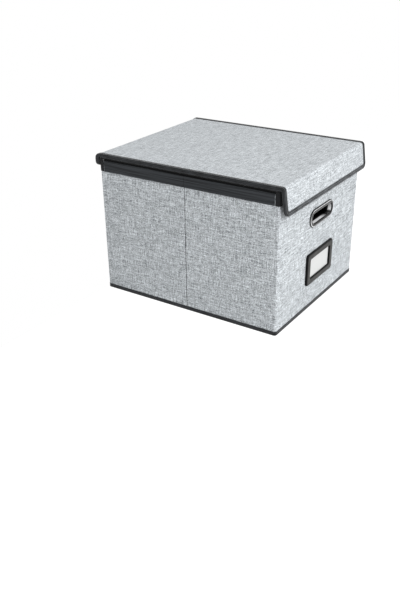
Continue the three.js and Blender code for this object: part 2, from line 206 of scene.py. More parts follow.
def new_material(name):
    material = bpy.data.materials.new(name)
    new_tree(material)
    return material


def node(kind, settings=None, tree=None, **inputs):
    """Adds a shader node and gives its outputs. inputs are its sockets by name or by _ and number.

    It goes where the first socket among its inputs is, unless a tree is given.
    """
    if tree is None:
        tree = next(value.id_data for value in inputs.values() if isinstance(value, bpy.types.NodeSocket))
    made = tree.nodes.new("ShaderNode" + kind)
    for key, value in (settings or {}).items():
        setattr(made, key, value)
    for key, value in inputs.items():
        socket = made.inputs[int(key[1:])] if key[0] == "_" else made.inputs[key.replace("_", " ")]
        if isinstance(value, bpy.types.NodeSocket):
            tree.links.new(value, socket)
        else:
            socket.default_value = value
    return made.outputs


def maths(operation, first, second=0.0, third=0.0):
    return node("Math", {"operation": operation}, _0=first, _1=second, _2=third)[0]


def times(first, second):
    return maths("MULTIPLY", first, second)


def parts(vector):
    return node("SeparateXYZ", Vector=vector)


def noise(vector, scale, detail=2.0, roughness=0.5, shift=0.4):
    place = (shift, 2.3 * shift, 0.5 + shift)
    stretched = node("Mapping", Vector=vector, Scale=scale, Location=place)[0]
    return node("TexNoise", Vector=stretched, Scale=1.0, Detail=detail, Roughness=roughness)[0]


def spread(value, low, high, out_low=0.0, out_high=1.0):
    ends = {"From_Min": low, "From_Max": high, "To_Min": out_low, "To_Max": out_high}
    return node("MapRange", {"clamp": True}, Value=value, **ends)[0]


def ramp(value, stops):
    """Colours set at stops, each a place from 0 to 1 and a colour, and straight between them."""
    made = node("ValToRGB", Fac=value)[0]
    elements = made.node.color_ramp.elements
    while len(elements) < len(stops):
        elements.new(0.5)
    for element, (place, colour) in zip(elements, stops):
        element.position = place
        element.color = (*colour, 1)
    return made


def scaled(colour, share):
    return node("VectorMath", {"operation": "SCALE"}, Vector=colour, Scale=share)[0]


def bump(height, distance, strength):
    return node("Bump", Height=height, Distance=distance, Strength=strength)[0]


def two_tone(value, dark, light):
    return ramp(value, ((0, dark), (1, light)))


def finished(material, **inputs):
    """Gives a material its surface."""
    node("OutputMaterial", Surface=node("BsdfPrincipled", **inputs)[0])
    return material


def cloth_coordinates(material):
    return node("UVMap", {"uv_map": "cloth"}, material.node_tree)[0]


def object_coordinates(material):
    return node("TexCoord", tree=material.node_tree)["Object"]


# Materials

# Width and length of the threads that show, and how much each kind counts in the grain
THREAD = 0.0011
WARP_SLUB = (0.0010, 0.020)
WEFT_SLUB = (0.0008, 0.016)
YARN = (0.0013, 0.0015)
SLUB_SHARE = 0.265
YARN_SHARE = 0.47
ROW_SHARE = 0.016
ROW_PITCH = 0.0066
ROW_DRIFT = 9.0
LINEN_DARK = (0.085, 0.095, 0.105)
LINEN_LIGHT = (0.89, 0.936, 0.97)
LINEN_CONTRAST = 0.125
# The share of its contrast that the grain keeps on the lid's top, and on the flap
LID_GRAIN = 0.70
FLAP_GRAIN = 0.86
# Width of the painted shade along the creases, and the pitch of the stitch dots in it
CREASE_LINE = 0.00055
CREASE_STITCH = 0.0042

TAPE_THREAD = 0.0007
TAPE_DARK = (0.005, 0.0055, 0.006)
TAPE_LIGHT = (0.040, 0.043, 0.047)
# The flap tape's lighter tone is a painted highlight on the flap's foot, which faces the key light; up the
# flap's sides it keeps a share of it
FLAP_PAINTED_HIGHLIGHT = (0.115, 0.122, 0.131)
FLAP_SIDE_SHARE = 0.35
# The rim trims' tape is a darker copy of the binding tape: painted shade under the lid's edge
TRIM_SHADED_DARK = (0.004, 0.0043, 0.0047)
TRIM_SHADED_LIGHT = (0.013, 0.014, 0.0155)
RIB_PITCH = 0.0030
# Above this level the rail gets painted shade, near-black as under the lid's edge
RIDGE_SHADE_LEVEL = 0.2612

# The grommet's tone by distance from the middle line of its opening, in mm: painted highlights on the
# barrel's mouth and on a rim line, painted shade between them and at the edge
METAL_PAINTED_TONES = (
    (9.0, 0.95), (9.15, 0.03), (10.2, 0.01), (11.4, 0.01), (12.8, 0.015), (14.3, 0.02),
    (14.8, 0.85), (15.4, 0.80), (15.8, 0.08), (16.4, 0.03), (17.0, 0.08),
)
METAL_REACH = 20.0
# The barrel is what lies nearer than METAL_BARREL; it isn't metallic, so that its bright tone is a painted
# highlight. The metal keeps its tone up to
# BARREL_MOUTH behind the wall's face and gets painted shade further in, with the inner flange
METAL_BARREL = 0.0091
BARREL_MOUTH = 0.0040
MOUTH_FADE = 0.0012
# Between these heights and sides the barrel's lower corner gets painted shade
CORNER_HEIGHTS = (HANDLE_LEVEL - 0.007, HANDLE_LEVEL - 0.0045)
CORNER_SIDES = (0.004, 0.022)


def weave_height(place, pitch):
    """The rise and fall of a plain weave: one thread over, one under."""
    across, along, _ = parts(place)
    across, along = (maths("SINE", times(way, math.pi / pitch)) for way in (across, along))
    return times(across, along)


def thread_noise(place, size, along_warp, shift, detail=1.0):
    """Streaks as wide and as long as size says, along the warp or across it."""
    width, length = size
    scale = (1 / width, 1 / length, 1) if along_warp else (1 / length, 1 / width, 1)
    return noise(place, scale, detail, 0.5, shift)


def weft_rows(place):
    """Rows where the weft is beaten closer, uneven along their length."""
    drift = times(noise(place, (45, 25, 1), 1.0, 0.5, 0.8), ROW_DRIFT)
    turns = maths("MULTIPLY_ADD", parts(place)[1], 2 * math.pi / ROW_PITCH, drift)
    strength = spread(noise(place, (60, 110, 1), 1.0, 0.5, 0.6), 0.35, 0.65)
    return times(maths("SINE", turns), strength)


def crease_shade(place):
    """Painted shade in the pressed and stitched lines down the middle of the two long walls: 1 away from
    them, low on them.
    """
    around, up, _ = parts(place)
    front = maths("ABSOLUTE", around)
    back = maths("ABSOLUTE", maths("SUBTRACT", around, OUTER.total / 2))
    stitch = maths("SINE", times(up, 2 * math.pi / CREASE_STITCH))
    depth = spread(stitch, -0.6, 0.4, 0.35, 0.04)
    line = spread(maths("MINIMUM", front, back), CREASE_LINE, CREASE_LINE * 1.4)
    return maths("MAXIMUM", line, depth)


def linen_material(name, crease_shaded=False, calmer=False):
    """Heathered linen: slubs run both ways over a plain weave, in uneven rows.

    The lid's cloth is calmer: its grain keeps a share of its contrast, least on the top.
    """
    material = new_material(name)
    place = cloth_coordinates(material)
    warp = thread_noise(place, WARP_SLUB, True, 0.4)
    weft = thread_noise(place, WEFT_SLUB, False, 1.1)
    yarn = thread_noise(place, YARN, True, 2.2, 2.0)
    slubs = maths("ADD", warp, weft)
    total = maths("MULTIPLY_ADD", slubs, SLUB_SHARE, times(yarn, YARN_SHARE))
    total = maths("MULTIPLY_ADD", weft_rows(place), ROW_SHARE, total)
    if calmer:
        level = parts(object_coordinates(material))[2]
        share = spread(level, LID_PANEL_TOP - 0.006, LID_PANEL_TOP - 0.001, FLAP_GRAIN, LID_GRAIN)
        total = maths("MULTIPLY_ADD", maths("SUBTRACT", total, 0.5), share, 0.5)
    tone = spread(total, 0.5 - LINEN_CONTRAST, 0.5 + LINEN_CONTRAST)
    colour = two_tone(tone, LINEN_DARK, LINEN_LIGHT)
    if crease_shaded:
        # Painted shade in the creases
        colour = scaled(colour, crease_shade(place))
    height = maths("MULTIPLY_ADD", weave_height(place, THREAD), 0.35, slubs)
    return finished(
        material, Base_Color=colour, Roughness=0.88, Specular_IOR_Level=0.25, Sheen_Weight=0.12,
        Sheen_Roughness=0.5, Normal=bump(height, 0.00025, 0.6),
    )


def tape_material(name, dark, light, side_share=1.0):
    """Dark woven binding tape: cords run along it under a fine rib.

    Up the flap's two sides it keeps side_share of its tone, so that its lighter tone, a painted highlight,
    stays on the flap's foot.
    """
    material = new_material(name)
    place = cloth_coordinates(material)
    ribs = noise(place, (1400, 160, 1), 1.0)
    wear = noise(place, (55, 160, 1), 3.0)
    cords = maths("COSINE", times(parts(place)[1], 2 * math.pi / RIB_PITCH))
    total = maths("MULTIPLY_ADD", ribs, 0.35, times(wear, 0.65))
    total = maths("MULTIPLY_ADD", cords, -0.15, total)
    tone = spread(total, 0.28, 0.72)
    # Painted highlight on the flap's foot: the flap's sides keep only side_share of the tone
    if side_share < 1:
        aside = maths("ABSOLUTE", parts(object_coordinates(material))[1])
        corner = LID_HALF_WIDTH - FLAP_CORNER
        tone = times(tone, spread(aside, corner, corner + FLAP_CORNER / 2, 1.0, side_share))
    height = maths("MULTIPLY_ADD", weave_height(place, TAPE_THREAD), 0.4, ribs)
    return finished(
        material, Base_Color=two_tone(tone, dark, light), Roughness=0.7,
        Specular_IOR_Level=0.15, Sheen_Weight=0.5, Sheen_Roughness=0.35,
        Normal=bump(height, 0.0002, 0.5),
    )


def lining_material():
    """Dark slate lining cloth, pressed from short fibres."""
    material = new_material("lining_cloth")
    place = cloth_coordinates(material)
    fibres = noise(place, (420, 420, 1), 4.0, 0.65)
    dimples = node("TexVoronoi", Vector=place, Scale=620.0)["Distance"]
    tone = spread(fibres, 0.3, 0.7)
    colour = two_tone(tone, (0.036, 0.040, 0.0455), (0.068, 0.075, 0.083))
    height = maths("MULTIPLY_ADD", dimples, 0.7, fibres)
    return finished(
        material, Base_Color=colour, Roughness=0.93, Specular_IOR_Level=0.25, Sheen_Weight=0.1,
        Normal=bump(height, 0.0002, 0.5),
    )


def board_material():
    """Greyboard: pulp with darker flecks."""
    material = new_material("greyboard")
    place = object_coordinates(material)
    pulp = noise(place, (300, 300, 300), 4.0, 0.6)
    flecks = noise(place, (900, 900, 900), 1.0)
    total = maths("MULTIPLY_ADD", flecks, 0.4, times(pulp, 0.6))
    tone = spread(total, 0.35, 0.65)
    colour = two_tone(tone, (0.26, 0.21, 0.15), (0.44, 0.37, 0.28))
    return finished(material, Base_Color=colour, Roughness=0.95, Normal=bump(pulp, 0.0002, 0.5))


def rail_material():
    """Dark moulded rail with light streaks along it, painted reflections, and painted shade that makes its
    ridge above the shoulder near-black under the lid's edge.
    """
    material = new_material("rail_plastic")
    place = object_coordinates(material)
    # The light streaks along the rail are painted reflections
    streaks = noise(place, (9, 500, 900))
    grain = noise(place, (700, 700, 700))
    # Painted shade: the ridge above the shoulder is near-black, as under the lid's edge
    face = spread(parts(place)[2], RIDGE_SHADE_LEVEL, RIDGE_SHADE_LEVEL + 0.0004, 1.0, 0.0)
    tone = times(spread(streaks, 0.35, 0.66, 0.25, 1.0), face)
    colour = two_tone(tone, (0.003, 0.0032, 0.0035), (0.050, 0.0545, 0.060))
    height = maths("MULTIPLY_ADD", grain, 0.3, streaks)
    return finished(
        material, Base_Color=colour, Roughness=spread(grain, 0.3, 0.7, 0.38, 0.56),
        Specular_IOR_Level=0.1, Normal=bump(height, 0.00012, 0.5),
    )


def metal_material():
    """Gunmetal plate with painted light: painted highlights on the barrel's mouth and a rim line, painted
    shade where the plate curves away, deeper in and in the barrel's lower corner.
    """
    material = new_material("gunmetal")
    place = object_coordinates(material)
    marks = noise(place, (900, 60, 900))
    smears = noise(place, (45, 60, 45))
    away = parts(cloth_coordinates(material))[1]
    stops = [(mm / METAL_REACH, (tone, tone * 1.01, tone * 1.03)) for mm, tone in METAL_PAINTED_TONES]
    # Painted highlights and painted shade by distance from the opening
    plate = ramp(times(away, 1000 / METAL_REACH), stops)
    barrel = spread(away, METAL_BARREL - 0.00005, METAL_BARREL, 1.0, 0.0)
    smears_and_glint = maths("MAXIMUM", spread(smears, 0.40, 0.56, 0.3, 1.0), barrel)
    along, side, height = parts(place)
    # Painted shade deeper in the opening and in the barrel's lower corner
    mouth = HALF_LENGTH - BARREL_MOUTH
    shade = spread(maths("ABSOLUTE", along), mouth - MOUTH_FADE, mouth, 0.02, 1.0)
    low = times(spread(height, *CORNER_HEIGHTS, 1.0, 0.0), barrel)
    corner = times(low, spread(side, *CORNER_SIDES))
    colour = plate
    for share in (smears_and_glint, shade, spread(corner, 0, 1, 1, 0.03)):
        colour = scaled(colour, share)
    return finished(
        # The barrel isn't metallic, so that its bright tone stands as a painted highlight
        material, Base_Color=colour, Metallic=maths("SUBTRACT", 1.0, barrel),
        Roughness=spread(marks, 0.3, 0.7, 0.13, 0.24), Normal=bump(marks, 0.00004, 0.4),
    )


def label_material():
    """Dark moulding of the label holder, with painted shade that makes its rounded edges blackest."""
    material = new_material("label_moulding")
    place = object_coordinates(material)
    grain = noise(place, (1100, 1100, 1100))
    smears = noise(place, (40, 40, 40), 3.0)
    # Painted shade: the rounded edges are darker than the flat face
    face = spread(parts(place)[0], LABEL_FACE - 0.0004, LABEL_FACE - 0.00005)
    tone = times(spread(smears, 0.3, 0.7, 0.3, 1.0), face)
    colour = two_tone(tone, (0.002, 0.002, 0.0021), (0.042, 0.0405, 0.0385))
    return finished(
        material, Base_Color=colour, Roughness=spread(grain, 0.3, 0.7, 0.3, 0.45),
        Specular_IOR_Level=0.1, Normal=bump(grain, 0.00005, 0.4),
    )


def paper_material():
    """Plain white card stock."""
    material = new_material("card_stock")
    fibres = noise(object_coordinates(material), (1200, 400, 1200), 3.0)
    tone = spread(fibres, 0.3, 0.7)
    colour = two_tone(tone, (0.60, 0.61, 0.61), (0.69, 0.69, 0.68))
    return finished(material, Base_Color=colour, Roughness=0.75, Normal=bump(fibres, 0.00004, 0.5))


# Pieces and their meshes


def grid(*values):
    """One array of points or places from arrays of their coordinates."""
    return np.stack(np.broadcast_arrays(*values), -1)


def new_piece(name, points, faces, uvs, material):
    mesh = bpy.data.meshes.new(name)
    mesh.from_pydata(np.asarray(points).tolist(), [], [list(map(int, face)) for face in faces])
    layer = mesh.uv_layers.new(name="cloth")
    corners = np.zeros(len(mesh.loops), dtype=np.int32)
    mesh.loops.foreach_get("vertex_index", corners)
    layer.data.foreach_set("uv", np.asarray(uvs, dtype=np.float32)[corners].ravel())
    mesh.polygons.foreach_set("use_smooth", [True] * len(mesh.polygons))
    mesh.set_sharp_from_angle(angle=SHARP_ANGLE)
    mesh.materials.append(material)
    return add_object(name, mesh)


def join_piece(piece, other):
    bpy.ops.object.select_all(action="DESELECT")
    other.select_set(True)
    piece.select_set(True)
    bpy.context.view_layer.objects.active = piece
    bpy.ops.object.join()
    piece.select_set(False)


def describe(piece, slot, motion, *replaced):
    """Has a piece ride the body that motion names; where motion gives two bodies and two places, it only
    fixes the piece where it stands. Hides what it replaces. slot, what the piece is made of, is not used.
    """
    if isinstance(motion, str):
        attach(piece, motion)
    else:
        body, next_body, start, end = motion
        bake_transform(piece)
        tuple(start)
        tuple(end)
    if replaced:
        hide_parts(*replaced)


def rim_faces(index, behind, cells):
    """The quads that close a sheet round its edges and holes."""
    room = np.pad(cells, 1)
    faces = []
    for before, after, start, end in (
        (room[1:-1, :-1], room[1:-1, 1:], (0, 0), (1, 0)),
        (room[:-1, 1:-1], room[1:, 1:-1], (0, 1), (0, 0)),
    ):
        for r, c in np.argwhere(before != after):
            a, b = (r + start[0], c + start[1]), (r + end[0], c + end[1])
            if after[r, c]:
                a, b = b, a
            faces.append((index[a], index[b], behind[b], behind[a]))
    return faces


def shell(name, face, back, uv, material, cells=None, behind_material=None):
    """A closed sheet between two grids of points. The face's own normal points out of it."""
    rows, columns = face.shape[:2]
    cells = np.ones((rows - 1, columns - 1), bool) if cells is None else cells
    index = np.arange(rows * columns).reshape(rows, columns)
    behind = index + rows * columns
    r, c = np.nonzero(cells)
    front = np.stack([index[r, c], index[r + 1, c], index[r + 1, c + 1], index[r, c + 1]], 1)
    rear = front[:, [0, 3, 2, 1]] + rows * columns
    faces = np.concatenate([front, rear, rim_faces(index, behind, cells)])
    points = np.concatenate([face.reshape(-1, 3), back.reshape(-1, 3)])
    uvs = np.tile(uv.reshape(-1, 2), (2, 1))
    used, faces = np.unique(faces, return_inverse=True)
    faces = faces.reshape(-1, 4)
    piece = new_piece(name, points[used], faces, uvs[used], material)
    if behind_material:
        piece.data.materials.append(behind_material)
        slots = np.zeros(len(faces), dtype=np.int32)
        slots[len(front):2 * len(front)] = 1
        piece.data.polygons.foreach_set("material_index", slots)
    return piece


def fan_volume(points, corners):
    p = points[corners]
    return (p[0] * np.cross(p[1:-1], p[2:])).sum()


def loft(name, sections, material, closed=False):
    """A solid through sections, each a ring of points and their uvs. It is turned so that it faces out."""
    rings, uv_rings = (np.array(part) for part in zip(*sections))
    count, size = rings.shape[:2]
    index = np.arange(count * size).reshape(count, size)
    following = np.roll(index, -1, axis=0) if closed else index[1:]
    here = index if closed else index[:-1]
    beside, across = np.roll(here, -1, axis=1), np.roll(following, -1, axis=1)
    faces = np.stack([here, beside, across, following], -1).reshape(-1, 4)
    points = rings.reshape(-1, 3)
    a, b, c, d = (points[faces[:, i]] for i in range(4))
    volume = (a * np.cross(b, c)).sum() + (a * np.cross(c, d)).sum()
    faces = faces.tolist()
    if not closed:
        ends = index[0][::-1], index[-1]
        volume += sum(fan_volume(points, end) for end in ends)
        faces += [end.tolist() for end in ends]
    if volume < 0:
        faces = [face[::-1] for face in faces]
    return new_piece(name, points, faces, uv_rings.reshape(-1, 2), material)


def box_mesh(name, low, high):
    corners = [(x, y, z) for x in (low[0], high[0]) for y in (low[1], high[1]) for z in (low[2], high[2])]
    faces = [(0, 1, 3, 2), (4, 6, 7, 5), (0, 4, 5, 1), (2, 3, 7, 6), (0, 2, 6, 4), (1, 5, 7, 3)]
    mesh = bpy.data.meshes.new(name)
    mesh.from_pydata(corners, [], faces)
    return mesh


def apart(distances, gap):
    """True for the first place, and for each that lies more than gap from the one before."""
    return np.concatenate([[True], distances > gap])


def steps(low, high, size, fine=()):
    """Even steps from low to high, with extra ones at fine."""
    count = max(2, int(math.ceil((high - low) / size)) + 1)
    values = np.concatenate([np.linspace(low, high, count), [f for f in fine if low < f < high]])
    values = np.unique(np.round(values, 6))
    values = values[apart(np.diff(values), FINEST_STEP)]
    values[-1] = high
    return values


# Glued cloth stands off its board by up to CLOTH_RISE, in waves: along, up, phase and share
CLOTH_RISE = 0.00025
WAVES = (
    (13.1, 4.2, 0.4, 0.9), (-6.3, 15.7, 2.1, 0.8), (21.9, -9.4, 4.0, 0.6),
    (9.7, 25.3, 5.2, 0.5), (-30.1, 11.8, 1.3, 0.4), (17.4, 33.6, 3.3, 0.3),
)


def unevenness(u, v):
    """How far glued cloth stands off its board, from nothing to CLOTH_RISE."""
    total = sum(
        share * np.sin(2 * math.pi * (along * u + up * v) + phase)
        for along, up, phase, share in WAVES
    )
    return CLOTH_RISE * (0.5 + 0.5 * total / sum(wave[3] for wave in WAVES))


# The walls' cloth


class Loop:
    """A rounded rectangle round the walls. Distances on it run anticlockwise from the front's middle."""

    def __init__(self, half_length, half_width, radius):
        self.half_length, self.half_width, self.radius = half_length, half_width, radius
        self.long, self.wide = 2 * (half_length - radius), 2 * (half_width - radius)
        self.quarter = math.pi * radius / 2
        self.total = 2 * (self.long + self.wide) + 4 * self.quarter

    def at(self, s):
        """Place and outward way at distance s."""
        x, y = self.half_length - self.radius, self.half_width - self.radius
        s = (s + self.long / 2) % self.total
        for side, start, way in (
            (self.long, (-x, -self.half_width), (1, 0)),
            (self.wide, (self.half_length, -y), (0, 1)),
            (self.long, (x, self.half_width), (-1, 0)),
            (self.wide, (-self.half_length, y), (0, -1)),
        ):
            start, way, out = np.array(start), np.array(way), np.array([way[1], -way[0]])
            if s <= side + 1e-12:
                return start + way * s, out
            s -= side
            if s <= self.quarter + 1e-12:
                turn = s / self.radius
                normal = out * math.cos(turn) + way * math.sin(turn)
                return start + way * side - self.radius * out + self.radius * normal, normal
            s -= self.quarter
        raise ValueError("outside the outline")

    def right(self, y):
        """The distance at y on the right end."""
        return self.long / 2 + self.quarter + (y + self.half_width - self.radius)

    def back(self, x):
        """The distance at x on the back, going round by the right end."""
        return self.long / 2 + self.quarter + self.wide + self.quarter + (self.half_length - self.radius - x)

    def marks(self):
        """Finer steps round each corner, at the creases and where the cloth's head steps up."""
        marks = []
        for mark in HEAD_STEP_MARKS:
            marks += [INNER_HALF_LENGTH - mark, self.back(INNER_HALF_LENGTH - mark)]
        for start in (self.long / 2, self.long / 2 + self.quarter + self.wide):
            marks += list(np.linspace(start, start + self.quarter, 9))
        marks += [self.total - mark for mark in marks] + [-mark for mark in marks]
        fine = np.linspace(-0.003, 0.003, 13)
        return marks + list(fine) + list(self.total / 2 + fine)


OUTER = Loop(HALF_LENGTH, HALF_WIDTH, CORNER_RADIUS)
INNER = Loop(INNER_HALF_LENGTH, INNER_HALF_WIDTH, INNER_CORNER_RADIUS)


def wall_head(place):
    """How high the cloth goes: the long walls end under their rails, the end walls under their trims."""
    x, y = place
    on_long_wall = abs(x) < INNER_HALF_LENGTH - HEAD_STEP and abs(y) > INNER_HALF_WIDTH - 0.0001
    return LONG_WALL_HEAD if on_long_wall else WALL_HEAD


def in_handle_hole(u, z):
    """True where (u, z) is inside the cloth's hole round a handle. u is along the wall from its middle."""
    along = np.maximum(np.abs(u) - (HANDLE_LENGTH / 2 - HANDLE_HEIGHT / 2), 0)
    return np.hypot(along, z - HANDLE_LEVEL) < HANDLE_HEIGHT / 2 + HOLE_GROWTH


def wall_cloth(name, start, end, loop, material, inward, hole_at, grooves):
    """Cloth on the walls from start to end along loop, with an opening for a handle at hole_at."""
    s_marks, z_marks = loop.marks() + [g + d for g in grooves for d in GROOVE_MARKS], ()
    if hole_at is not None:
        s_marks, z_marks = (
            np.arange(middle - reach, middle + reach + 0.0001, HOLE_STEP)
            for middle, reach in zip((hole_at, HANDLE_LEVEL), HOLE_REACH)
        )
    s = steps(start, end, CLOTH_STEP, s_marks)
    z = steps(WALL_FOOT, WALL_HEAD, CLOTH_STEP * 1.3, z_marks)
    places, ways = (np.array(part) for part in zip(*map(loop.at, s)))
    side = -1 if inward else 1
    lift = side * unevenness(s[:, None], z[None, :])
    dents = [(at, *CREASE_DENT) for at in (0.0, loop.total / 2, -loop.total / 2)]
    for at, depth, width in dents + [(at, *GROOVE_DENT) for at in grooves]:
        lift = lift - side * depth * np.exp(-((s - at) / width) ** 2)[:, None]
    heads = np.array([wall_head(place) for place in places])
    z = WALL_FOOT + (z[None, :] - WALL_FOOT) * (heads[:, None] - WALL_FOOT) / (WALL_HEAD - WALL_FOOT)
    away = grid(ways[:, :1], ways[:, 1:], np.zeros_like(z))
    face = grid(places[:, :1], places[:, 1:], z) + lift[..., None] * away
    back = face - side * CLOTH * away
    uv = grid(s[:, None], z)
    cells = np.ones((len(s) - 1, z.shape[1] - 1), bool)
    if hole_at is not None:
        inside = in_handle_hole(s[:, None] - hole_at, z)
        cells = ~(inside[:-1, :-1] | inside[1:, :-1] | inside[:-1, 1:] | inside[1:, 1:])
    if inward:
        face, back, uv, cells = face[::-1], back[::-1], uv[::-1], cells[::-1]
    return shell(name, face, back, uv, material, cells)


def upright(body, next_body, start, end):
    """The two bodies and two places in (x, y), at BLEND_LEVEL, for a piece that spans from one wall's body to
    the next.
    """
    return body, next_body, (*start, BLEND_LEVEL), (*end, BLEND_LEVEL)


def make_walls(loop, material, slot, layer, inward):
    """The cloth on one face of the four walls: seven pieces, with a slit at the back right corner."""
    total, y, mid = loop.total, loop.half_width, CREASE_BLEND
    seam = INNER_SEAM if inward else WALL_SEAM
    right_start, right_end = loop.right(-CORNER_SEAM_Y), loop.back(INNER_HALF_LENGTH)
    back_start = loop.back(INNER_HALF_LENGTH - COVER_SLIT)
    end_x, end_y, long_x = CORNER_BLEND, y, WALL_SEAM
    edge = INNER_HALF_LENGTH
    grooves = (edge, -edge, total - edge, loop.back(-edge))
    if inward:
        right_end = loop.right(y - loop.radius)
        back_start = loop.back(INNER_HALF_LENGTH - LINING_SLIT)
        end_x, end_y, long_x = INNER_HALF_LENGTH, y - INNER_BLEND, INNER_HALF_LENGTH - INNER_BLEND
        grooves = ()
    back_end = loop.back(-seam)
    left_back, left_front = (total - loop.right(side * CORNER_SEAM_Y) for side in (1, -1))
    holes = {"right": loop.right(0.0), "left": total - loop.right(0.0)}
    front = upright("front_left", "front_right", (-mid, -y), (mid, -y))
    back = upright("back_left", "back_right", (-mid, y), (mid, y))
    front_right = upright("front_right", "right_end", (long_x, -y), (end_x, -end_y))
    front_left = upright("base", "front_left", (-end_x, -end_y), (-long_x, -y))
    back_left = upright("base", "back_left", (-end_x, end_y), (-long_x, y))
    for part, start, end, board, motion, walls in (
        ("front", -seam, seam, "front_left", front, ("front_left", "front_right")),
        ("corner_front_right", seam, right_start, "right", front_right, ()),
        ("right", right_start, right_end, "right", "right_end", ("right",)),
        ("back", back_start, back_end, "back_left", back, ("back_left", "back_right")),
        ("corner_back_left", back_end, left_back, "left", back_left, ()),
        ("left", left_back, left_front, "left", "base", ("left",)),
        ("corner_front_left", left_front, total - seam, "left", front_left, ()),
    ):
        piece = wall_cloth(f"{layer}_{part}", start, end, loop, material, inward, holes.get(part), grooves)
        describe(piece, slot, motion, *(f"{wall}_{layer}" for wall in walls))


# Folded binding tape

STITCH_PITCH = 0.0034
STITCH_LENGTH = 0.0022
STITCH_WIDTH = 0.00055
STITCH_RISE = 0.00022
STITCH_INSET = 0.0074
STITCH_SINK = 0.00033
# A stitch's rings of six points: place along it and size
STITCH_RINGS = ((-1.0, 0.25), (-0.7, 0.8), (0.0, 1.0), (0.7, 0.8), (1.0, 0.25))
STITCH_FACES = [
    (6 * i + k, 6 * i + k + 6, 6 * i + (k + 1) % 6 + 6, 6 * i + (k + 1) % 6)
    for i in range(4) for k in range(6)
] + [tuple(range(6)), tuple(range(29, 23, -1))]

# The tape's upper leg from its lip to the folded edge: (distance in from the edge, depth), in mm
TAPE_LEG = (
    (8.6, 1.12), (8.58, 0.72), (8.35, 0.48), (7.9, 0.36), (6.9, 0.34), (6.3, 0.2), (5.6, 0.1),
    (5.0, 0.2), (4.6, 0.42), (4.25, 0.5), (3.9, 0.42), (3.4, 0.16), (2.6, 0.02), (1.7, 0.04),
    (1.0, 0.16), (0.5, 0.4), (0.15, 0.85),
)
# The folded edge: (share of the way down, distance in), in mm
TAPE_EDGE = (
    (0.06, 0.0), (0.2, 0.0), (0.3, 0.1), (0.36, 0.26), (0.42, 0.1), (0.5, 0.0), (0.58, 0.1),
    (0.64, 0.26), (0.7, 0.1), (0.8, 0.0), (0.94, 0.0),
)
TAPE_INNER = 0.0011


def tape_section(thickness):
    """A folded tape in section: (distance in from the edge, depth below the top face)."""
    deep = thickness - 2 * TAPE_INNER
    leg = [(a / 1000, b / 1000) for a, b in TAPE_LEG]
    edge = [(inset / 1000, TAPE_INNER + share * deep) for share, inset in TAPE_EDGE]
    under = [(a, thickness - b) for a, b in reversed(leg)]
    inside = [(TAPE_INNER, thickness - TAPE_INNER), (TAPE_INNER, TAPE_INNER)]
    return np.array(leg + edge + under + inside)


def turned(way, angle):
    cosine, sine = math.cos(angle), math.sin(angle)
    return np.array([cosine * way[0] - sine * way[1], sine * way[0] + cosine * way[1]])


def rounded_path(corners, radii, step, arc_steps):
    """A path through corners in a plane with each inner corner rounded. Gives its points and its headings."""
    corners = [np.array(c, float) for c in corners]
    points, ways = [], []

    def straight(start, end):
        length = np.linalg.norm(end - start)
        for t in np.linspace(0, 1, max(2, int(length / step) + 1)):
            points.append(start + t * (end - start))
            ways.append((end - start) / max(length, 1e-12))

    here = corners[0]
    for before, corner, after, radius in zip(corners, corners[1:], corners[2:], radii):
        way_in = (corner - before) / np.linalg.norm(corner - before)
        way_out = (after - corner) / np.linalg.norm(after - corner)
        turn = math.atan2(way_in[0] * way_out[1] - way_in[1] * way_out[0], way_in @ way_out)
        cut = radius * math.tan(abs(turn) / 2)
        straight(here, corner - cut * way_in)
        side = np.array([-way_in[1], way_in[0]]) * (1 if turn > 0 else -1)
        centre = corner - cut * way_in + radius * side
        count = max(arc_steps, int(abs(turn) * radius / step))
        for t in np.linspace(0, 1, count + 1)[1:-1]:
            points.append(centre + radius * turned(-side, t * turn))
            ways.append(turned(way_in, t * turn))
        here = corner + cut * way_out
    straight(here, corners[-1])
    return np.array(points), np.array(ways)


def path_lengths(points):
    return np.concatenate([[0], np.cumsum(np.linalg.norm(np.diff(points, axis=0), axis=1))])


def without_repeats(points, ways, gap):
    """A path without the points that lie within gap of the one before."""
    keep = apart(np.linalg.norm(np.diff(points, axis=0), axis=1), gap)
    return points[keep], ways[keep]


def flap_point(away, down):
    """A point of the flap in (x, z): away from the crease's middle and down along the flap."""
    cosine, sine = math.cos(FLAP_FLARE), math.sin(FLAP_FLARE)
    return (CREASE_X + away * cosine + down * sine, CREASE_Z + away * sine - down * cosine)


class Profile:
    """A line in (x, z) that a cloth follows. The cloth faces its left where side is 1."""

    def __init__(self, corners, radii, side):
        points, ways = rounded_path(corners, radii, step=0.002, arc_steps=16)
        self.points, ways = without_repeats(points, ways, 1e-9)
        self.normals = np.stack([-ways[:, 1], ways[:, 0]], 1) * side
        self.v = path_lengths(self.points)
        self.length = self.v[-1]

    def at(self, v, lift=0.0):
        """Place (x, z) at distance v, lift above the cloth, and its facing. Straight on past the ends."""
        v = np.asarray(v, float)
        inside = np.clip(v, 0, self.length)
        beyond = v - inside
        x, z, nx, nz = (np.interp(inside, self.v, part) for part in (*self.points.T, *self.normals.T))
        size = np.hypot(nx, nz)
        nx, nz = nx / size, nz / size
        return x + nz * beyond + nx * lift, z - nx * beyond + nz * lift, nx, nz


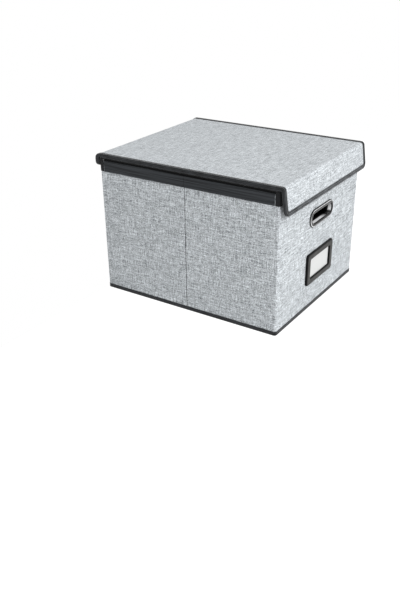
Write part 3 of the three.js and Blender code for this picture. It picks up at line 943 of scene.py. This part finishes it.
LID_PROFILE = Profile(
    [
        (STRIP_X, STRIP_BOTTOM),
        (STRIP_X, LID_PANEL_TOP),
        flap_point(CREASE_RADIUS, -CREASE_RADIUS * math.tan((math.pi / 2 - FLAP_FLARE) / 2)),
        flap_point(CREASE_RADIUS, FLAP_DROP),
    ],
    [HINGE_RADIUS, CREASE_RADIUS],
    1,
)
LINING_LEFT = LID_LEFT + 0.0002
LINING_PROFILE = Profile(
    [
        (LINING_LEFT, LID_PANEL_TOP - LINING_DROP),
        (LINING_LEFT, LID_PANEL_UNDER),
        flap_point(FLAP_BACK, FLAP_BACK * math.tan(FLAP_FLARE)),
        flap_point(FLAP_BACK, FLAP_DROP - TAPE_PROUD),
    ],
    LINING_RADII,
    -1,
)

# Distances along the lid's cloth, from the strip's foot over the hinge and the lid to the flap's foot
STRIP_RISE = LID_PANEL_TOP - HINGE_RADIUS - STRIP_BOTTOM
HINGE_END = STRIP_RISE + math.pi * HINGE_RADIUS / 2
CREASE_START = HINGE_END + (CREASE_X - (STRIP_X + HINGE_RADIUS))
CREASE_END = CREASE_START + CREASE_RADIUS * (math.pi / 2 - FLAP_FLARE)
LID_END = CREASE_END + FLAP_DROP
BEND_MARKS = [*np.linspace(STRIP_RISE, HINGE_END, 11), *np.linspace(CREASE_START, CREASE_END, 13)]


def v_of_x(x):
    """Distance along the lid's cloth at x on its top."""
    return HINGE_END + x - (STRIP_X + HINGE_RADIUS)


LID_TAPE_START = v_of_x(-0.1860)
LID_TAPE_END = v_of_x(0.1780)
LID_CLOTH_START = v_of_x(-0.1500)
LID_CLOTH_END = v_of_x(0.1600)
EDGE_THINS_AT = v_of_x(0.1835)
EDGE_THINS_OVER = 0.0065
HINGE_THINS_OVER = 0.004
# Places given for the hinge's cloth, from just under its bend to HINGE_BLEND_X, and for the flap's near its
# crease
HINGE_BLEND_Z = STRIP_BOTTOM + STRIP_RISE - 0.001
HINGE_BLEND_X = -0.1868
FLAP_BLEND = 0.004


def settle_path(path, ways):
    """Drops points that repeat and adds fine steps where the lid's cloth bends."""
    path, ways = without_repeats(path, ways, 1e-7)
    s = path_lengths(path)
    extra = [
        here + (mark - v) / (next_v - v) * (following - here)
        for v, next_v, here, following in zip(path[:, 0], path[1:, 0], s, s[1:])
        for mark in BEND_MARKS if min(v, next_v) < mark < max(v, next_v)
    ]
    fine = np.unique(np.round(np.concatenate([s, extra]), 7))
    fine = fine[apart(np.diff(fine), 5e-5)]
    path, ways = (np.stack([np.interp(fine, s, part) for part in line.T], 1) for line in (path, ways))
    return path, ways / np.linalg.norm(ways, axis=1)[:, None]


def add_stitches(piece, path, ways):
    """Stitches along the tape's upper leg, each a small rounded thread, on the path of the tape's edge."""
    s = path_lengths(path)
    points, faces, uvs = [], [], []
    for number in range(int(s[-1] / STITCH_PITCH)):
        run = (number + 0.5) * STITCH_PITCH
        v, y, wv, wy = (np.interp(run, s, part) for part in (*path.T, *ways.T))
        size = math.hypot(wv, wy)
        wv, wy = wv / size, wy / size
        x, z, nx, nz = LID_PROFILE.at(v - wy * STITCH_INSET, TAPE_PROUD - STITCH_SINK)
        centre, out = np.array([x, y + wv * STITCH_INSET, z]), np.array([nx, 0, nz])
        along = np.array([nz * wv, wy, -nx * wv])
        across = np.cross(out, along)
        faces += [[len(points) + corner for corner in face] for face in STITCH_FACES]
        for i, (t, size) in enumerate(STITCH_RINGS):
            for k in range(6):
                angle = math.pi * k / 3
                points.append(
                    centre + along * (t * STITCH_LENGTH / 2)
                    + across * (size * STITCH_WIDTH / 2 * math.cos(angle))
                    + out * (size * STITCH_RISE * math.sin(angle))
                )
                uvs.append((number * STITCH_PITCH + i * 0.0004, k * 0.0002))
    join_piece(piece, new_piece(piece.name + "_extra", points, faces, uvs, piece.data.materials[0]))


def taped(name, corners, radii, thickness_at, material):
    """Stitched tape folded over the lid's edge. Its corners are in (v, y), with the lid on its left."""
    path, ways = settle_path(*rounded_path(corners, radii, step=0.004, arc_steps=12))
    edge_middle = len(TAPE_LEG) + len(TAPE_EDGE) // 2

    def section_at(place, way, run):
        (v, y), (wv, wy) = place, way
        section = tape_section(thickness_at(v))
        inset, depth = section.T
        x, z, _, _ = LID_PROFILE.at(v - wy * inset, TAPE_PROUD - depth)
        across = path_lengths(section)
        return grid(x, y + wv * inset, z), grid(run, across - across[edge_middle])

    piece = loft(name, map(section_at, path, ways, path_lengths(path)), material)
    add_stitches(piece, path, ways)
    return piece


# The lid


def eased(share):
    share = np.clip(share, 0, 1)
    return share * share * (3 - 2 * share)


def strip_edge_thickness(v):
    """The hinge's thickness at its edge: full on the strip, a little thinner round the fold."""
    share = eased((v - STRIP_RISE + HINGE_THINS_OVER / 2) / HINGE_THINS_OVER)
    return STRIP_THICKNESS + (HINGE_THICKNESS - STRIP_THICKNESS) * share


def edge_thickness(v):
    """The lid's thickness at its edge: full on the panel, thinner from the crease on."""
    share = eased((v - EDGE_THINS_AT) / EDGE_THINS_OVER)
    return LID_THICKNESS + (FLAP_TAPE_THICKNESS - LID_THICKNESS) * share


def make_lid_tapes():
    edge, start, end = LID_HALF_WIDTH, LID_TAPE_START, LID_TAPE_END
    round_strip = [(start, edge), (0, edge), (0, -edge), (start, -edge)]
    round_flap = [(end, -edge), (LID_END, -edge), (LID_END, edge), (end, edge)]
    return (
        taped("tape_hinge", round_strip, [STRIP_CORNER] * 2, strip_edge_thickness, TAPE),
        taped("tape_lid_front", [(start, -edge), (end, -edge)], [], edge_thickness, TAPE),
        taped("tape_lid_back", [(end, edge), (start, edge)], [], edge_thickness, TAPE),
        taped("tape_flap", round_flap, [FLAP_CORNER] * 2, edge_thickness, FLAP_HIGHLIGHT_TAPE),
    )


STRIP_CLOTH_CORNER = STRIP_CORNER - TAPE_PROUD
FLAP_CLOTH_CORNER = FLAP_CORNER - TAPE_PROUD
CORNER_STEPS = np.linspace(0, 1, 9) ** 2


def lid_half_width(v, low, high, low_radius):
    """Half the lid cloth's width at v, drawn in round the corners at its two ends."""
    half = np.full(len(v), LID_CLOTH_HALF_WIDTH)
    for gap, radius in ((v - low, low_radius), (high - v, FLAP_CLOTH_CORNER)):
        reach = np.clip(radius - gap, 0, radius)
        half = half - (radius - np.sqrt(radius ** 2 - reach ** 2))
    return half


def lid_sheet(name, profile, v, half, columns, shift, material, behind_material=None):
    """Cloth that follows profile at the distances v, half as wide as half says."""
    y = half[:, None] * columns[None, :]
    lift = unevenness(v[:, None] + shift, y) - CLOTH_RISE / 2
    x, z, nx, nz = (part[:, None] for part in profile.at(v))
    face, back = (grid(x + nx * rise, y, z + nz * rise) for rise in (lift, lift - CLOTH))
    return shell(name, face, back, grid(y, v[:, None]), material, behind_material=behind_material)


def lid_cloth(name, start, end, fine):
    """Linen on the lid from start to end, along the way it bends."""
    v = steps(start, end, CLOTH_STEP, [*BEND_MARKS, *fine])
    half = lid_half_width(v, TAPE_PROUD, LID_END - TAPE_PROUD, STRIP_CLOTH_CORNER)
    piece = lid_sheet(name, LID_PROFILE, v, half, np.linspace(-1, 1, LID_COLUMNS), 2.0, LID_LINEN, LINING)
    return piece


def make_lid_lining():
    """The lining under the lid, down its left end and on the flap's back."""
    end = LINING_PROFILE.length
    bends = np.flatnonzero(np.abs(np.diff(LINING_PROFILE.normals[:, 0])) > 1e-6)
    fine = [*LINING_PROFILE.v[bends], *(end - CORNER_STEPS * FLAP_CLOTH_CORNER)]
    v = steps(0, end, CLOTH_STEP, fine)
    half = lid_half_width(v, -1, end, 0)
    piece = lid_sheet("lining_lid", LINING_PROFILE, v, half, np.linspace(1, -1, LINING_COLUMNS), 3.0, LINING)
    return piece


def make_lid():
    strip_tape, front_tape, back_tape, flap_tape_painted_highlight = make_lid_tapes()
    first, last, start, end = LID_CLOTH_START, LID_CLOTH_END, TAPE_PROUD, LID_END - TAPE_PROUD
    at_strip, at_flap = start + CORNER_STEPS * STRIP_CLOTH_CORNER, end - CORNER_STEPS * FLAP_CLOTH_CORNER
    hinge = lid_cloth("linen_hinge", start, first, at_strip)
    top = lid_cloth("linen_lid", first, last, ())
    flap = lid_cloth("linen_flap", last, end, at_flap)
    lining = make_lid_lining()
    fold = ("base", "lid", (STRIP_X, 0, HINGE_BLEND_Z), (HINGE_BLEND_X, 0, LID_PANEL_TOP))
    crease_x, crease_z = flap_point(CREASE_RADIUS, FLAP_BLEND)
    crease_start = (CREASE_X - FLAP_BLEND, 0, CREASE_Z + CREASE_RADIUS)
    crease = ("lid", "flap", crease_start, (crease_x, 0, crease_z))
    describe(hinge, "linen", fold, "hinge_strip", "lid_hinge_fold")
    describe(strip_tape, "binding", fold, "hinge_strip_binding")
    describe(top, "linen", "lid", "lid_cover")
    describe(front_tape, "binding", "lid", "lid_binding_front")
    describe(back_tape, "binding", "lid", "lid_binding_back")
    describe(flap, "linen", crease, "flap_cover", "flap_fold")
    describe(flap_tape_painted_highlight, "binding", crease, "flap_binding")
    describe(lining, "lining", crease, "lid_lining", "flap_lining")


# The base

# The base tape in section: (distance in from its outer face, height), in mm
BASE_TAPE = (
    (9.9, 0.0), (9.9, 0.8), (2.4, 0.8), (1.2, 1.0), (0.78, 1.7), (0.78, 7.9), (0.66, 8.15),
    (0.36, 8.15), (0.1, 7.9), (0.0, 7.3), (0.02, 6.2), (0.12, 5.3), (0.3, 4.8), (0.12, 4.3),
    (0.0, 3.4), (0.0, 2.2), (0.08, 1.2), (0.35, 0.5), (0.9, 0.1), (1.6, 0.0), (4.5, 0.0),
)
BASE_CORNER_RADIUS = 0.0051
BASE_LOOP = Loop(HALF_LENGTH + TAPE_PROUD, HALF_WIDTH + TAPE_PROUD, BASE_CORNER_RADIUS)
# The tape is cut this far along the long walls, so that its ends go with the end walls
BASE_CUT = 0.1795
# How far the right end wall goes when the walls are folded flat
# The base's cloth lies this high
BASE_CLOTH_LEVEL = 0.001
BASE_CLOTH_INSET = (0.004, 0.0016)
INSERT_GAP = 0.0006
INSERT_BOTTOM = 0.0021
INSERT_TOP = 0.0069
INSERT_ROUNDING = 0.0021
# Under the insert the rounding is this share of the rounding on top
INSERT_UNDER = 0.6
# It takes its waves from this far along, so that they aren't the base cloth's
INSERT_SHIFT = 5
SHEET_EDGE_MARKS = (0.0005, 0.0012, 0.002, 0.003)


def gather(piece, y=0.0):
    """No joint folds the base: the piece gets its own mesh and rides the base. y is not used."""
    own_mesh(piece)
    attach(piece, "base")


def sweep(name, loop, start, end, section, level, sign, material):
    """A section swept along loop. It gives, in mm, distances in from the loop and up (or down) from level."""
    inset, height = np.array(section).T / 1000

    def section_at(value):
        (x, y), (nx, ny) = loop.at(value)
        points = grid(x - nx * inset, y - ny * inset, level + sign * height)
        return points, grid(value, height + inset)

    return loft(name, map(section_at, steps(start, end, TAPE_STEP, loop.marks())), material)


def make_base_tape():
    """The base's bound edge in four parts: the end parts go with the end walls, and the long ones ride the
    base.
    """
    front, back, y = BASE_CUT, BASE_LOOP.back(BASE_CUT), BASE_LOOP.half_width
    tapes = []
    # A part's motion is the body that it rides, or the y at which it gathers
    for part, start, end, motion in (
        ("right", front, back, "right_end"),
        ("left", -back, -front, "base"),
        # A part's motion is the body that it rides, or, for the long parts, which ride the base, a y
        ("front", -front, front, BASE_TAPE[0][0] / 1000 - y),
        ("back", back, BASE_LOOP.total - back, y),
    ):
        piece = sweep(f"tape_base_{part}", BASE_LOOP, start, end, BASE_TAPE, 0, 1, TAPE)
        if isinstance(motion, str):
            describe(piece, "binding", motion)
        else:
            gather(piece, motion)
        if part == "left":
            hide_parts("base_binding")
        tapes.append(piece)
    return tapes


def flat_grid(half_x, half_y, step):
    x, y = (
        steps(-half, half, step, [side * (half - d) for side in (-1, 1) for d in SHEET_EDGE_MARKS])
        for half in (half_x, half_y)
    )
    return np.meshgrid(x, y, indexing="ij")


def make_base_skin(tapes):
    half_x, half_y = HALF_LENGTH - BASE_CLOTH_INSET[0], HALF_WIDTH - BASE_CLOTH_INSET[1]
    x, y = flat_grid(half_x, half_y, BASE_STEP)
    under = grid(x, y, BASE_CLOTH_LEVEL + 0.5 * unevenness(x, y))
    over = under + np.array([0, 0, CLOTH])
    piece = shell("linen_base", under[:, ::-1], over[:, ::-1], grid(x, y)[:, ::-1], LINEN)
    gather(piece)
    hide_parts("base_skin")


def make_insert():
    """The loose floor board in its lining wrap, soft at its edges."""
    half_x, half_y = INNER_HALF_LENGTH - INSERT_GAP, INNER_HALF_WIDTH - INSERT_GAP
    radius = INSERT_ROUNDING
    x, y = flat_grid(half_x, half_y, INSERT_STEP)
    gap = np.minimum(half_x - np.abs(x), half_y - np.abs(y))
    fall = radius - np.sqrt(np.maximum(radius ** 2 - np.clip(radius - gap, 0, radius) ** 2, 0))
    over = grid(x, y, INSERT_TOP - CLOTH_RISE + unevenness(x + INSERT_SHIFT, y) - fall)
    under = grid(x, y, INSERT_BOTTOM + INSERT_UNDER * fall)
    piece = shell("insert", over, under, grid(x, y), LINING)
    gather(piece)
    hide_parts("insert_cover", "insert_board")


# The end walls' trims, grommets and label holder

TRIM_WRAP = 0.0084
TRIM_SETBACK = 0.009
# The trim's top stays a little inside its outer leg's ends, and its inner leg ends over TRIM_FALL
TRIM_TUCK = 0.0001
TRIM_FALL = 0.0004
TRIM_THICKNESS = 0.0008
# The trim's outer leg in section: (distance in from its face, depth below the rim), in mm
TRIM_LEG = (
    (0.75, 25.0), (0.35, 25.0), (0.08, 24.6), (0.0, 23.9), (0.04, 22.6), (0.22, 22.1), (0.04, 21.6),
    (0.0, 20.4), (0.0, 16.0), (0.0, 10.0), (0.0, 5.2), (0.2, 4.7), (0.0, 4.2), (0.0, 1.3), (0.12, 0.6),
    (0.45, 0.15), (1.0, 0.0), (1.6, 0.0), (1.6, 0.8), (0.95, 0.9), (0.75, 1.4),
)
# Its top and inner leg: (distance in from the wall's outer face, depth below the rim), in mm
TRIM_TOP = (
    (-0.2, 0.05), (2.4, 0.0), (2.8, 0.18), (3.2, 0.0), (6.2, 0.0), (7.4, 0.05), (8.1, 0.2), (8.55, 0.6),
    (8.75, 1.3), (8.75, 3.2), (8.57, 3.6), (8.75, 4.0), (8.75, 7.3), (8.55, 7.8), (8.05, 7.9), (7.98, 7.6),
    (7.98, 1.3), (7.5, 0.85), (-0.2, 0.8),
)
TRIM_LOOP = Loop(HALF_LENGTH + TAPE_PROUD, HALF_WIDTH + TAPE_PROUD, CORNER_RADIUS + TAPE_PROUD)


def end_point(side, along, out, z):
    """A point on an end wall: along it, out from its outer face, and up. side is 1 for the right end."""
    return grid(side * (HALF_LENGTH + out), side * along, z)


def make_trim(name, side, body, replaced):
    """Folded tape over the rim of an end wall.

    Its outer leg wraps round the wall's two ends, and its inner leg stops short of the long walls.
    """
    wrap_x = HALF_LENGTH - TRIM_WRAP
    start, end = wrap_x, TRIM_LOOP.back(wrap_x)
    if side < 0:
        start, end = TRIM_LOOP.back(-wrap_x), TRIM_LOOP.total - wrap_x
    piece = sweep(name, TRIM_LOOP, start, end, TRIM_LEG, RIM_TOP, -1, TRIM_SHADED_TAPE)
    join_piece(piece, make_trim_top(name + "_top", side))
    describe(piece, "binding", body, replaced)


def make_trim_top(name, side):
    half, inner_half = HALF_WIDTH - TRIM_TUCK, HALF_WIDTH - TRIM_SETBACK
    marks = [s * (inner_half + d) for s in (-1, 1) for d in (0, TRIM_FALL)]

    def section_at(value):
        inset, drop = np.array(TRIM_TOP).T / 1000
        if abs(value) > inner_half + TRIM_TUCK:
            inset = np.minimum(inset, TRIM_WRAP - 2 * TRIM_TUCK)
            drop = np.minimum(drop, TRIM_THICKNESS)
        return end_point(side, value, -inset, RIM_TOP - drop), grid(value, inset + drop)

    return loft(name, map(section_at, steps(-half, half, TAPE_STEP, marks)), TRIM_SHADED_TAPE)


def oblong_path(radius_steps=26, straight_steps=8):
    """Places round the handle opening: (middle of the arc, outward way) for each."""
    reach = HANDLE_LENGTH / 2 - HANDLE_HEIGHT / 2
    path = []
    for side in (1, -1):
        for angle in np.linspace(math.pi / 2, -math.pi / 2, radius_steps + 1):
            turn = angle if side > 0 else math.pi + angle
            path.append((side * reach, math.cos(turn), math.sin(turn)))
        for t in np.linspace(0, 1, straight_steps + 1)[1:-1]:
            path.append((side * reach * (1 - 2 * t), 0.0, -side))
    return path


def crown(first, seat, rise, sign):
    """A flange's rounded face from first to its edge: (away from the opening, out of the wall)."""
    points = []
    for angle in np.linspace(math.pi, 0, CROWN_STEPS):
        away = first + (FLANGE - first) * (1 + math.cos(angle)) / 2
        lift = FLANGE_EDGE + (rise - FLANGE_EDGE) * math.sin(angle) ** CROWN_FULLNESS
        points.append((away, seat + sign * lift))
    return points


def make_grommet(prefix, side, body):
    seat = -END_WALL - SEAT_GAP
    foot = seat - FLANGE_EDGE
    outer = [(BARREL_ROUNDING, foot), (0, foot + BARREL_LIP), (0, 0.0), *crown(0, SEAT_GAP, FLANGE_RISE, 1)]
    outer += [(FLANGE, SEAT_GAP), (BARREL, SEAT_GAP)]
    outer += [(BARREL, foot + BARREL_LIP), (BARREL - BARREL_ROUNDING, foot)]
    start = BARREL + SEAT_GAP
    inner = [(start, seat), *crown(start, seat, INNER_FLANGE_RISE, -1), (FLANGE, seat)]
    for part, section in (("outer", outer), ("inner", inner)):
        away, out = np.array(section).T
        away = HANDLE_HEIGHT / 2 + away
        sections = []
        for number, (middle, cosine, sine) in enumerate(oblong_path()):
            points = end_point(side, middle + away * cosine, out, HANDLE_LEVEL + away * sine)
            sections.append((points, grid(number * 0.002, away)))
        piece = loft(f"grommet_{prefix}_{part}", sections, METAL, closed=True)
        describe(piece, "grommet", body, f"{prefix}_handle_{part}")


def rounded_rectangle(half_x, half_z, radius, arc=8):
    points = []
    for cx, cz, start in ((1, 1, 0), (-1, 1, 1), (-1, -1, 2), (1, -1, 3)):
        for t in np.linspace(0, 1, arc + 1):
            angle = (start + t) * math.pi / 2
            x, z = radius * math.cos(angle), radius * math.sin(angle)
            points.append((cx * (half_x - radius) + x, cz * (half_z - radius) + z))
    return np.array(points)


def make_label_holder():
    """A bevelled moulding with a window, and a pocket behind it that is open at one end."""
    top = SEAT_GAP + LABEL_RISE
    angles = [math.pi / 2 * t for t in np.linspace(0, 1, 7)]
    edge = [(LABEL_BEVEL * (1 - math.cos(a)), top - LABEL_BEVEL * (1 - math.sin(a))) for a in angles]
    edge = [(0, SEAT_GAP), *edge]
    rings, uvs = [], []
    for sizes, sign, edge_points in ((LABEL_OUTSIDE, -1, edge), (LABEL_WINDOW, 1, reversed(edge))):
        for inset, out in edge_points:
            ring = rounded_rectangle(*(size + sign * inset for size in sizes))
            rings.append(end_point(1, ring[:, 0], out, LABEL_LEVEL + ring[:, 1]))
            uvs.append(ring + out)
    rings, uvs = (np.array(part).transpose(1, 0, 2) for part in (rings, uvs))
    piece = loft("label_holder", zip(rings, uvs), LABEL, closed=True)
    low = (HALF_LENGTH - POCKET_START, -POCKET_SIDE, LABEL_LEVEL - POCKET_HEIGHT)
    high = (HALF_LENGTH + SEAT_GAP + POCKET_DEPTH, POCKET_OPEN_END, LABEL_LEVEL + POCKET_HEIGHT)
    cut_box(piece, low, high)
    describe(piece, "label_holder", "right_end", "label_frame")


def cut_box(piece, low, high):
    """Takes a box out of a piece."""
    cutter = add_object("cutter", box_mesh("cutter", low, high))
    cut = piece.modifiers.new("pocket", "BOOLEAN")
    cut.operation = "DIFFERENCE"
    cut.solver = "EXACT"
    cut.object = cutter
    bpy.context.view_layer.update()
    result = bpy.data.meshes.new_from_object(piece.evaluated_get(bpy.context.evaluated_depsgraph_get()))
    piece.modifiers.clear()
    piece.data = result
    piece.data.set_sharp_from_angle(angle=SHARP_ANGLE)
    bpy.data.objects.remove(cutter)


# Frame pieces that stay

BEVEL_ANGLE = math.radians(30)
RAIL_BEVEL = 0.0002
CARD_BEVEL = 0.0001


def dress(name, material, bevel=0.0):
    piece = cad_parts[name]
    piece.data.materials.clear()
    piece.data.materials.append(material)
    if bevel:
        rounding = piece.modifiers.new("rounding", "BEVEL")
        rounding.width = bevel
        rounding.segments = 2
        rounding.limit_method = "ANGLE"
        rounding.angle_limit = BEVEL_ANGLE


def dress_frame():
    for wall in ("left", "right", "front_left", "front_right", "back_left", "back_right", "lid", "flap"):
        dress(f"{wall}_board", BOARD)
    for wall in ("front_left", "front_right", "back_left", "back_right"):
        dress(f"{wall}_rail", RAIL, RAIL_BEVEL)
    dress("label_card", PAPER, CARD_BEVEL)


# Stage and light

# The floor ends under the box's left end, because the opened lid hangs lower than the floor there
FLOOR_LEFT = -0.1915
FLOOR_SIZE = 3.0
FLOOR_DEPTH = 0.6
FLOOR_GREY = (0.6, 0.6, 0.6, 1)
FLOOR_GLOW = 0.63
WORLD_GREY = (0.58, 0.58, 0.58, 1)
WHITE = (1, 1, 1, 1)
KEY_WAY = Vector((0.63, -0.24, 0.46)).normalized()
KEY_CENTRE = Vector((0, 0, 0.15))
KEY_DISTANCE = 3.5
KEY_SIZE = 1.8
KEY_POWER = 104.0


def seen_directly(tree):
    """1 for rays from the camera, mirrors and glass."""
    path = node("LightPath", tree=tree)
    seen = maths("MAXIMUM", path["Is Camera Ray"], path["Is Glossy Ray"])
    return maths("MAXIMUM", seen, path["Is Transmission Ray"])


def make_world():
    scene.world = bpy.data.worlds.new("studio")
    tree = new_tree(scene.world)
    lit, shown = (node("Background", tree=tree, Color=colour)[0] for colour in (WORLD_GREY, WHITE))
    mixed = node("MixShader", _0=seen_directly(tree), _1=lit, _2=shown)[0]
    node("OutputWorld", Surface=mixed)


def make_floor():
    material = new_material("floor")
    tree = material.node_tree
    diffuse = node("BsdfDiffuse", tree=tree, Color=FLOOR_GREY)[0]
    glow = node("Emission", Color=WHITE, Strength=times(seen_directly(tree), FLOOR_GLOW))[0]
    node("OutputMaterial", Surface=node("AddShader", _0=diffuse, _1=glow)[0])
    low, high = (FLOOR_LEFT, -FLOOR_SIZE, -FLOOR_DEPTH), (FLOOR_LEFT + FLOOR_SIZE, FLOOR_SIZE, 0.0)
    mesh = box_mesh("floor", low, high)
    mesh.materials.append(material)
    add_object("floor", mesh)


def make_key():
    light = bpy.data.lights.new("key", "AREA")
    light.energy = KEY_POWER
    light.size = KEY_SIZE
    turn = KEY_WAY.to_track_quat("Z", "Y").to_matrix().to_4x4()
    add_object("key", light, Matrix.Translation(KEY_WAY * KEY_DISTANCE + KEY_CENTRE) @ turn)


# Making

make_camera()
scene.view_settings.view_transform = "Standard"
make_world()
make_floor()
make_key()

LINEN = linen_material("linen")
WALL_LINEN = linen_material("wall_linen", crease_shaded=True)
LID_LINEN = linen_material("lid_linen", calmer=True)
TAPE = tape_material("binding_tape", TAPE_DARK, TAPE_LIGHT)
# Binding tape with a painted highlight on the flap's foot
FLAP_HIGHLIGHT_TAPE = tape_material("flap_tape_painted_highlight", TAPE_DARK, FLAP_PAINTED_HIGHLIGHT, FLAP_SIDE_SHARE)
# A darker copy of the binding tape: painted shade on the rim trims
TRIM_SHADED_TAPE = tape_material("trim_tape_painted_shade", TRIM_SHADED_DARK, TRIM_SHADED_LIGHT)
LINING = lining_material()
BOARD = board_material()
RAIL = rail_material()
METAL = metal_material()
LABEL = label_material()
PAPER = paper_material()

make_walls(OUTER, WALL_LINEN, "linen", "cover", inward=False)
make_walls(INNER, LINING, "lining", "lining", inward=True)
make_lid()
make_insert()
make_base_skin(make_base_tape())
for word, side, body in (("left", -1, "base"), ("right", 1, "right_end")):
    make_trim(f"tape_rim_{word}", side, body, f"{word}_rim_trim")
for word, side, body in (("left", -1, "base"), ("right", 1, "right_end")):
    make_grommet(word, side, body)
make_label_holder()
dress_frame()
